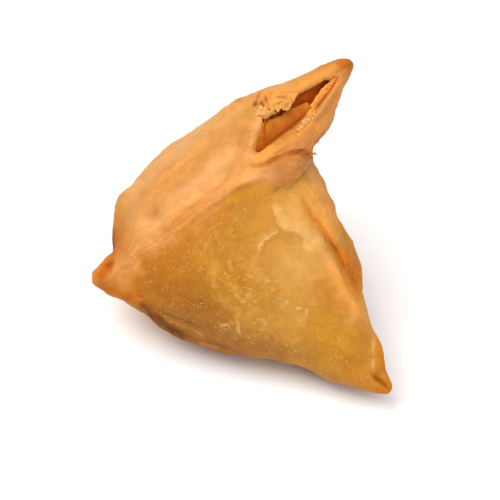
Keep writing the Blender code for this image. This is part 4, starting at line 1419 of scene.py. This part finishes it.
@dataclass(frozen=True)
class Flake:
    """A torn piece of thin dough, stretched between an upper and a lower line of the panel frame, in mm.

    It is ragged at its top and its foot, and made from a grid of rows and columns. Its fries are those of its
    foot, its top and its mottling; the tongue's darker foot is painted shade under the lower lip.
    """

    name: str
    upper: tuple[Spot, ...]
    lower: tuple[Spot, ...]
    thickness: float
    bulge: float
    ragged: tuple[float, float]
    wrinkle: float
    seed: int
    fries: tuple[Fry, Fry, Fry]
    grid: tuple[int, int] = (40, 70)
    arcs: tuple[Fold, ...] = ()
    nick_sizes: tuple[float, float] = (0.45, 1.5)
    small_nick: float = 0.6
    crease_sizes: tuple[float, float] = (1.1, 0.5)
    crease_run: Spot = (1.0, 1.0, 3.0)
    small_crease: float = 0.5
    mottle_size: float = 1.3
    mottle: float = 0.25

    def line(self, places: tuple[Spot, ...]) -> Points:
        """Draws a smooth line.

        Args:
            places: What it goes through, as across, up and out.

        Returns:
            One point for each column.
        """
        columns = self.grid[1]
        flat = SkinLine(tuple(p[:2] for p in places)).fine(columns)
        known = np.linspace(0, 1, len(places))
        return np.column_stack([flat, np.interp(np.linspace(0, 1, columns), known, [p[2] for p in places])])

    def build(self, panel: PanelFrame, material: Material) -> Object:
        """Shapes a grid into the flake and gives it its thickness.

        Args:
            panel: The panel frame.
            material: The crust's finish.

        Returns:
            The flake.
        """
        rows, columns = self.grid
        bpy.ops.object.select_all(action="DESELECT")
        bpy.ops.mesh.primitive_grid_add(x_subdivisions=columns - 1, y_subdivisions=rows - 1, size=1)
        obj = bpy.context.object
        obj.name = self.name
        write_points(obj.data, panel.to_row(self.shape(read_points(obj.data))))
        obj.data.materials.append(material)
        apply(obj, "SOLIDIFY", thickness=self.thickness * MM, offset=-1.0)
        bpy.ops.object.mode_set(mode="EDIT")
        bpy.ops.mesh.select_all(action="SELECT")
        bpy.ops.mesh.normals_make_consistent(inside=False)
        bpy.ops.object.mode_set(mode="OBJECT")
        obj.data.shade_smooth()
        self.brown(obj, panel)
        return obj

    def shape(self, flat: Points) -> Points:
        """Stretches a flat grid between the two lines, with torn edges, a bulge and wrinkles.

        Args:
            flat: The points of a grid 1 wide and 1 high, round the origin.

        Returns:
            Their places in the panel frame.
        """
        across = flat[:, 1] + 0.5
        column = np.rint((flat[:, 0] + 0.5) * (self.grid[1] - 1)).astype(int)
        top, foot = self.line(self.upper)[column], self.line(self.lower)[column]
        width = np.linalg.norm(top - foot, axis=1)
        nick_top, nick_foot = self.nicks(top, self.seed), self.nicks(foot, self.seed + 2)
        share = across * (1 + self.ragged[0] * nick_top / width)
        share = share + (1 - across) * self.ragged[1] * nick_foot / width
        place = foot + (top - foot) * share[:, None]
        large, small = self.crease_sizes
        creases = Lumps(large, self.seed + 4, self.crease_run).at(place)
        creases += self.small_crease * Lumps(small, self.seed + 5).at(place)
        place[:, 2] += self.bulge * 4 * across * (1 - across) + self.wrinkle * creases
        place[:, 2] += sum((arc.height(place[:, :2], creases) for arc in self.arcs), np.zeros(len(place)))
        return place

    def nicks(self, edge: Points, seed: int) -> Points:
        """The small and the large nicks of a torn edge."""
        small, large = self.nick_sizes
        return self.small_nick * Lumps(small, seed).at(edge) + Lumps(large, seed + 1).at(edge)

    def brown(self, obj: Object, panel: PanelFrame) -> None:
        """Colours the flake from its foot to its top; the tongue's darker foot is painted shade.

        Args:
            obj: The flake.
            panel: The panel frame.
        """
        place = panel.to_panel(read_points(obj.data))
        top, foot = self.line(self.upper), self.line(self.lower)
        middle = (top + foot) / 2
        nearest = np.array([np.argmin(((middle - p) ** 2).sum(1)) for p in place])
        span = top[nearest] - foot[nearest]
        height = np.clip(((place - foot[nearest]) * span).sum(1) / (span**2).sum(1), 0, 1)
        foot_fry, top_fry, mottle_fry = (fry.colour for fry in self.fries)
        colour = blend_rows(foot_fry, top_fry, soft_step(height, 0.0, 1.0))
        mottled = self.mottle * (1 + Lumps(self.mottle_size, self.seed).at(place))
        write_colour_and_marks(obj.data, blend_rows(colour, mottle_fry, mottled), {})


@dataclass(frozen=True)
class Crumbs:
    """Loose crumbs of crust, as thick as sown along a line, in mm."""

    name: str
    places: Route
    count: int
    spread: float
    size: float
    sink: float
    seed: int
    sizes: tuple[float, float] = (0.5, 1.5)
    squash: Spot = (1.3, 0.9, 0.55)
    tilt: float = 0.7
    spin: float = 6.3
    knobs: float = 0.3
    knob_size: float = 0.8
    crisp_size: float = 0.9
    drop: float = 60.0

    def build(self, panel: PanelFrame, skin: Object, material: Material) -> Object:
        """Models one crumb, copies it along the line and joins the copies.

        Args:
            panel: The panel frame.
            skin: The crust that they lie on.
            material: Their finish.

        Returns:
            The crumbs as one object.
        """
        bpy.ops.object.select_all(action="DESELECT")
        bpy.ops.mesh.primitive_ico_sphere_add(subdivisions=2, radius=1.0)
        first = bpy.context.object
        first.name = self.name
        ball = read_points(first.data)
        surface = BVHTree.FromObject(skin, bpy.context.evaluated_depsgraph_get())
        rng = np.random.default_rng(self.seed)
        spots = SkinLine(self.places).fine(SCATTER)[rng.integers(0, SCATTER, self.count)]
        spots = spots + rng.normal(0, self.spread, spots.shape)
        copies = []
        for n, (across, up) in enumerate(spots):
            start = panel.to_row(np.array([across, up, self.drop]))[0]
            hit = surface.ray_cast(Vector(start), -panel.outward())[0]
            if hit is None:
                continue
            copy = first.copy()
            copy.data = first.data.copy()
            bpy.context.scene.collection.objects.link(copy)
            size = self.size * rng.uniform(*self.sizes, 3) * np.array(self.squash)
            knobbly = ball * (1 + self.knobs * Lumps(self.knob_size, self.seed + n).at(ball + n))[:, None]
            tilt = rng.uniform(-self.tilt, self.tilt, 3) + np.array([0, 0, rng.uniform(0, self.spin)])
            deep = panel.to_panel(np.array(hit))[0] - np.array([0, 0, self.sink])
            turn = np.array(Euler(tilt).to_matrix())
            write_points(copy.data, panel.to_row((knobbly * size) @ turn.T + deep))
            copies.append(copy)
        bpy.data.objects.remove(first)
        select_only(*copies)
        bpy.ops.object.join()
        obj = bpy.context.object
        obj.name = self.name
        obj.data.materials.append(material)
        obj.data.shade_smooth()
        self.brown(obj.data, panel)
        return obj

    def brown(self, mesh: Mesh, panel: PanelFrame) -> None:
        """Colours the crumbs, pale where they are crisp and dry all over.

        Args:
            mesh: The crumbs' mesh.
            panel: The panel frame.
        """
        crisp = 0.5 + 0.5 * Lumps(self.crisp_size, self.seed).at(panel.to_panel(read_points(mesh)))
        colour = np.tile(Fry.GLOWING.colour, (len(crisp), 1))
        write_colour_and_marks(mesh, blend_rows(colour, Fry.CREAM.colour, crisp), {Mark.DRY: np.ones(len(crisp))})


EAR_FLAKES = (
    Flake(
        "inner_ply",
        upper=((3, 38.6, -0.8), (8.1, 40.8, -1.3), (12.4, 43, -2.5), (15.6, 44.6, -2.8), (22, 48.4, -3)),
        lower=((4.8, 33.4, -2), (8.8, 35, -2.6), (13, 36.6, -4), (17.6, 38.6, -4), (24, 45.6, -3.4)),
        thickness=0.6, bulge=-0.5, ragged=(0, 0), wrinkle=0.1, seed=21,
        fries=(Fry.EMBER, Fry.EMBER, Fry.RED),
    ),
    Flake(
        "tongue",
        upper=((2.9, 33, 1), (3.9, 34.6, 0.3), (5.6, 35.5, -0.1), (7.8, 36.4, -0.4), (10, 37.4, -0.5),
              (12.6, 38.8, -0.6), (15.3, 40.2, -0.8)),
        lower=((1.5, 26.2, 5.5), (3.8, 26.6, 3), (6.2, 28, 0.8), (8.8, 29.8, 0.2), (12, 32.2, -0.4),
              (14.8, 34.6, -0.8), (17.4, 37.6, -1.4)),
        thickness=0.8, bulge=0.7, ragged=(0.3, 0), wrinkle=0.05, seed=31,
        # the foot's darker sienna is painted shade, where the lower lip shadows the tongue
        fries=(Fry.SHADED_SIENNA, Fry.ORANGE, Fry.RED),
        arcs=(
            Fold(((5, 35.4), (4.3, 34.2), (3.9, 33), (4.1, 31.2)), -0.9, 0.2),
            Fold(((6.6, 30), (10, 32.4), (14, 35.6)), -0.25, 0.35),
        ),
    ),
    Flake(
        "inner_strip",
        upper=((15.2, 37.6, -0.6), (16.2, 38.9, -1), (17, 40.2, -1.2), (17.8, 41.6, -1.3),
              (18.9, 42.9, -1.4), (20.8, 44.8, -1.5), (22.7, 46.6, -1.8)),
        lower=((16.2, 36.6, -1.2), (17.4, 37.9, -1.5), (18.6, 39.4, -1.7), (19.6, 40.8, -1.8),
              (20.6, 42.2, -1.9), (22.3, 44.6, -2), (24, 46.9, -2.2)),
        thickness=0.5, bulge=0.5, ragged=(0.15, 0.1), wrinkle=0.06, seed=36,
        fries=(Fry.ORANGE, Fry.GLOWING, Fry.PALE_GOLD), grid=(20, 60),
    ),
    Flake(
        "torn_flap",
        upper=((4.6, 41.6, 0), (7.4, 42.3, 0), (10.2, 42.7, -0.1), (13.4, 42.6, -0.3)),
        lower=((5.3, 37.9, 1.2), (7.6, 38.1, 1.3), (10.2, 37.5, 1.1), (11.6, 40, 0.7)),
        thickness=0.35, bulge=0.25, ragged=(0.5, 0.8), wrinkle=0.2, seed=41,
        fries=(Fry.PALE_GOLD, Fry.GLOWING, Fry.PALE_GOLD),
        arcs=(
            Fold(((6.6, 41.2), (8.6, 42.2), (10.6, 41.6), (11.2, 40.6)), 0.45, 0.28),
            Fold(((7, 39.6), (8.8, 40.4), (10.2, 39.6)), 0.4, 0.25),
            Fold(((7.6, 41), (9.4, 41.2), (10.2, 40.6)), -0.4, 0.22),
        ),
    ),
    Flake(
        "rim_flake",
        upper=((1.2, 36.6, 0.9), (2.4, 37.8, 1.3), (3.6, 38.2, 1.4), (5.2, 38.2, 1.2), (6.9, 36.9, 0.8)),
        lower=((1.4, 35.4, 0.6), (2.8, 35.2, 0.8), (4.4, 35.7, 1), (5.6, 36.2, 0.8), (6.7, 36.5, 0.6)),
        thickness=0.35, bulge=0.3, ragged=(0.7, 0.3), wrinkle=0.15, seed=52,
        fries=(Fry.PEACH, Fry.CREAM, Fry.GLOWING),
    ),
    Flake(
        "lip_flake",
        upper=((12.4, 33.2, 2.1), (13.4, 33.6, 2.2), (14.4, 34.4, 1.9), (15.4, 35.3, 1.6),
              (16.6, 36.6, 1.3), (17.8, 37.8, 0.9)),
        lower=((13.2, 31.4, 1.6), (14.4, 32.2, 1.4), (15.4, 33.2, 1.2), (16.4, 34.4, 1), (17.4, 35.8, 0.7),
              (18.4, 37.4, 0.4)),
        thickness=0.4, bulge=0.4, ragged=(0.8, 0.2), wrinkle=0.15, seed=57,
        fries=(Fry.GLOWING, Fry.CREAM, Fry.PINK), grid=(24, 60),
    ),
    Flake(
        "neck_shred",
        upper=((15, 25.4, -1.3), (16.2, 25.7, -1.5), (17.2, 26.5, -1.7), (18.2, 25.9, -1.8)),
        lower=((14.8, 24.9, -1.3), (16, 25, -1.5), (17.2, 25.6, -1.7), (18, 25.5, -1.8)),
        thickness=0.35, bulge=0.2, ragged=(0.25, 0.25), wrinkle=0.1, seed=61,
        fries=(Fry.AMBER, Fry.PEACH, Fry.RUST), grid=(10, 24),
    ),
)
CRUMB_ROWS = (
    Crumbs("lip_crumbs", ((12.8, 32.6), (14.4, 33.6), (16.2, 35.2), (17.8, 37)), 30, 0.5, 0.24, 0.05, 71),
    Crumbs("band_crumbs", ((1.2, 24.2), (4.2, 25.6), (7, 27.2)), 40, 0.5, 0.2, 0.05, 72),
    Crumbs("ear_crumbs", ((14, 27.8), (17, 30.8), (19.5, 33.6)), 60, 0.7, 0.2, 0.05, 73),
)


@dataclass
class Studio:
    """The table top, the soft lights and the camera, in metres and watts."""

    panel: PanelFrame
    elevation: float = 48.0
    distance: float = 0.9
    view_width: float = 0.135
    sensor: float = 36.0
    floor_size: float = 3.0
    aim: Spot = (0.0, 0.0, 0.03)
    lamp_size: float = 1.1
    key: tuple[Spot, float] = ((-0.50, 0.12, 0.95), 11.8)
    fill: tuple[Spot, float] = ((0.55, -0.55, 0.95), 7.2)
    world_strength: float = 0.48

    def build(self) -> None:
        """Makes the floor, the lights and the camera."""
        self.lay_floor()
        self.light()
        self.set_camera()

    def lay_floor(self) -> Object:
        """Lays the table top under the samosa.

        Returns:
            The table top.
        """
        bpy.ops.object.select_all(action="DESELECT")
        bpy.ops.mesh.primitive_plane_add(size=self.floor_size, location=(0, 0, 0))
        floor = bpy.context.object
        floor.name = "table_top"
        floor.data.materials.append(FloorFinish().material("table_top"))
        return floor

    def light(self) -> None:
        """A large soft light from above left, a wide fill from the front, and an even pale room."""
        self.soft_light("key", *self.key)
        self.soft_light("fill", *self.fill)
        world = bpy.data.worlds.new("pale_room")
        world.use_nodes = True
        back = world.node_tree.nodes["Background"]
        back.inputs["Color"].default_value = (1.0, 1.0, 1.0, 1.0)
        back.inputs["Strength"].default_value = self.world_strength
        bpy.context.scene.world = world

    def soft_light(self, name: str, at: Spot, watts: float) -> None:
        """Hangs a square soft box that faces the samosa.

        Args:
            name: Its name.
            at: Its place.
            watts: Its power.
        """
        lamp = bpy.data.lights.new(name, "AREA")
        lamp.size = self.lamp_size
        lamp.energy = watts
        obj = bpy.data.objects.new(name, lamp)
        obj.location = at
        toward = Vector(self.aim) - Vector(at)
        obj.rotation_euler = toward.to_track_quat("-Z", "Y").to_euler()
        bpy.context.scene.collection.objects.link(obj)

    def set_camera(self) -> None:
        """Looks square on to the front panel."""
        data = bpy.data.cameras.new("camera")
        data.sensor_width = self.sensor
        data.lens = self.sensor * self.distance / self.view_width
        camera = bpy.data.objects.new("camera", data)
        tilt = math.radians(self.elevation)
        back = Vector((0, -math.cos(tilt), math.sin(tilt)))
        camera.location = Vector(self.panel.middle) * MM + back * self.distance
        camera.rotation_euler = Euler((math.radians(90.0 - self.elevation), 0, 0))
        bpy.context.scene.collection.objects.link(camera)
        bpy.context.scene.camera = camera


def main() -> None:
    """Builds the crust and the studio, and reports each piece."""
    logging.basicConfig(level=logging.INFO, format="%(name)s: %(message)s")
    panel = PanelFrame()
    crust = CrustSkin(panel, CrustFinish()).build()
    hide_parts(SOLID)
    pieces = [crust]
    pieces += [flake.build(panel, crust.data.materials[0]) for flake in EAR_FLAKES]
    pieces += [crumbs.build(panel, crust, crust.data.materials[0]) for crumbs in CRUMB_ROWS]
    for piece in pieces:
        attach(piece, BODY)
        log.info("%s: %d faces, %d corners", piece.name, len(piece.data.polygons), len(piece.data.vertices))
    Studio(panel).build()
    bpy.context.scene.view_settings.view_transform = "Standard"


if __name__ == "__main__":
    main()
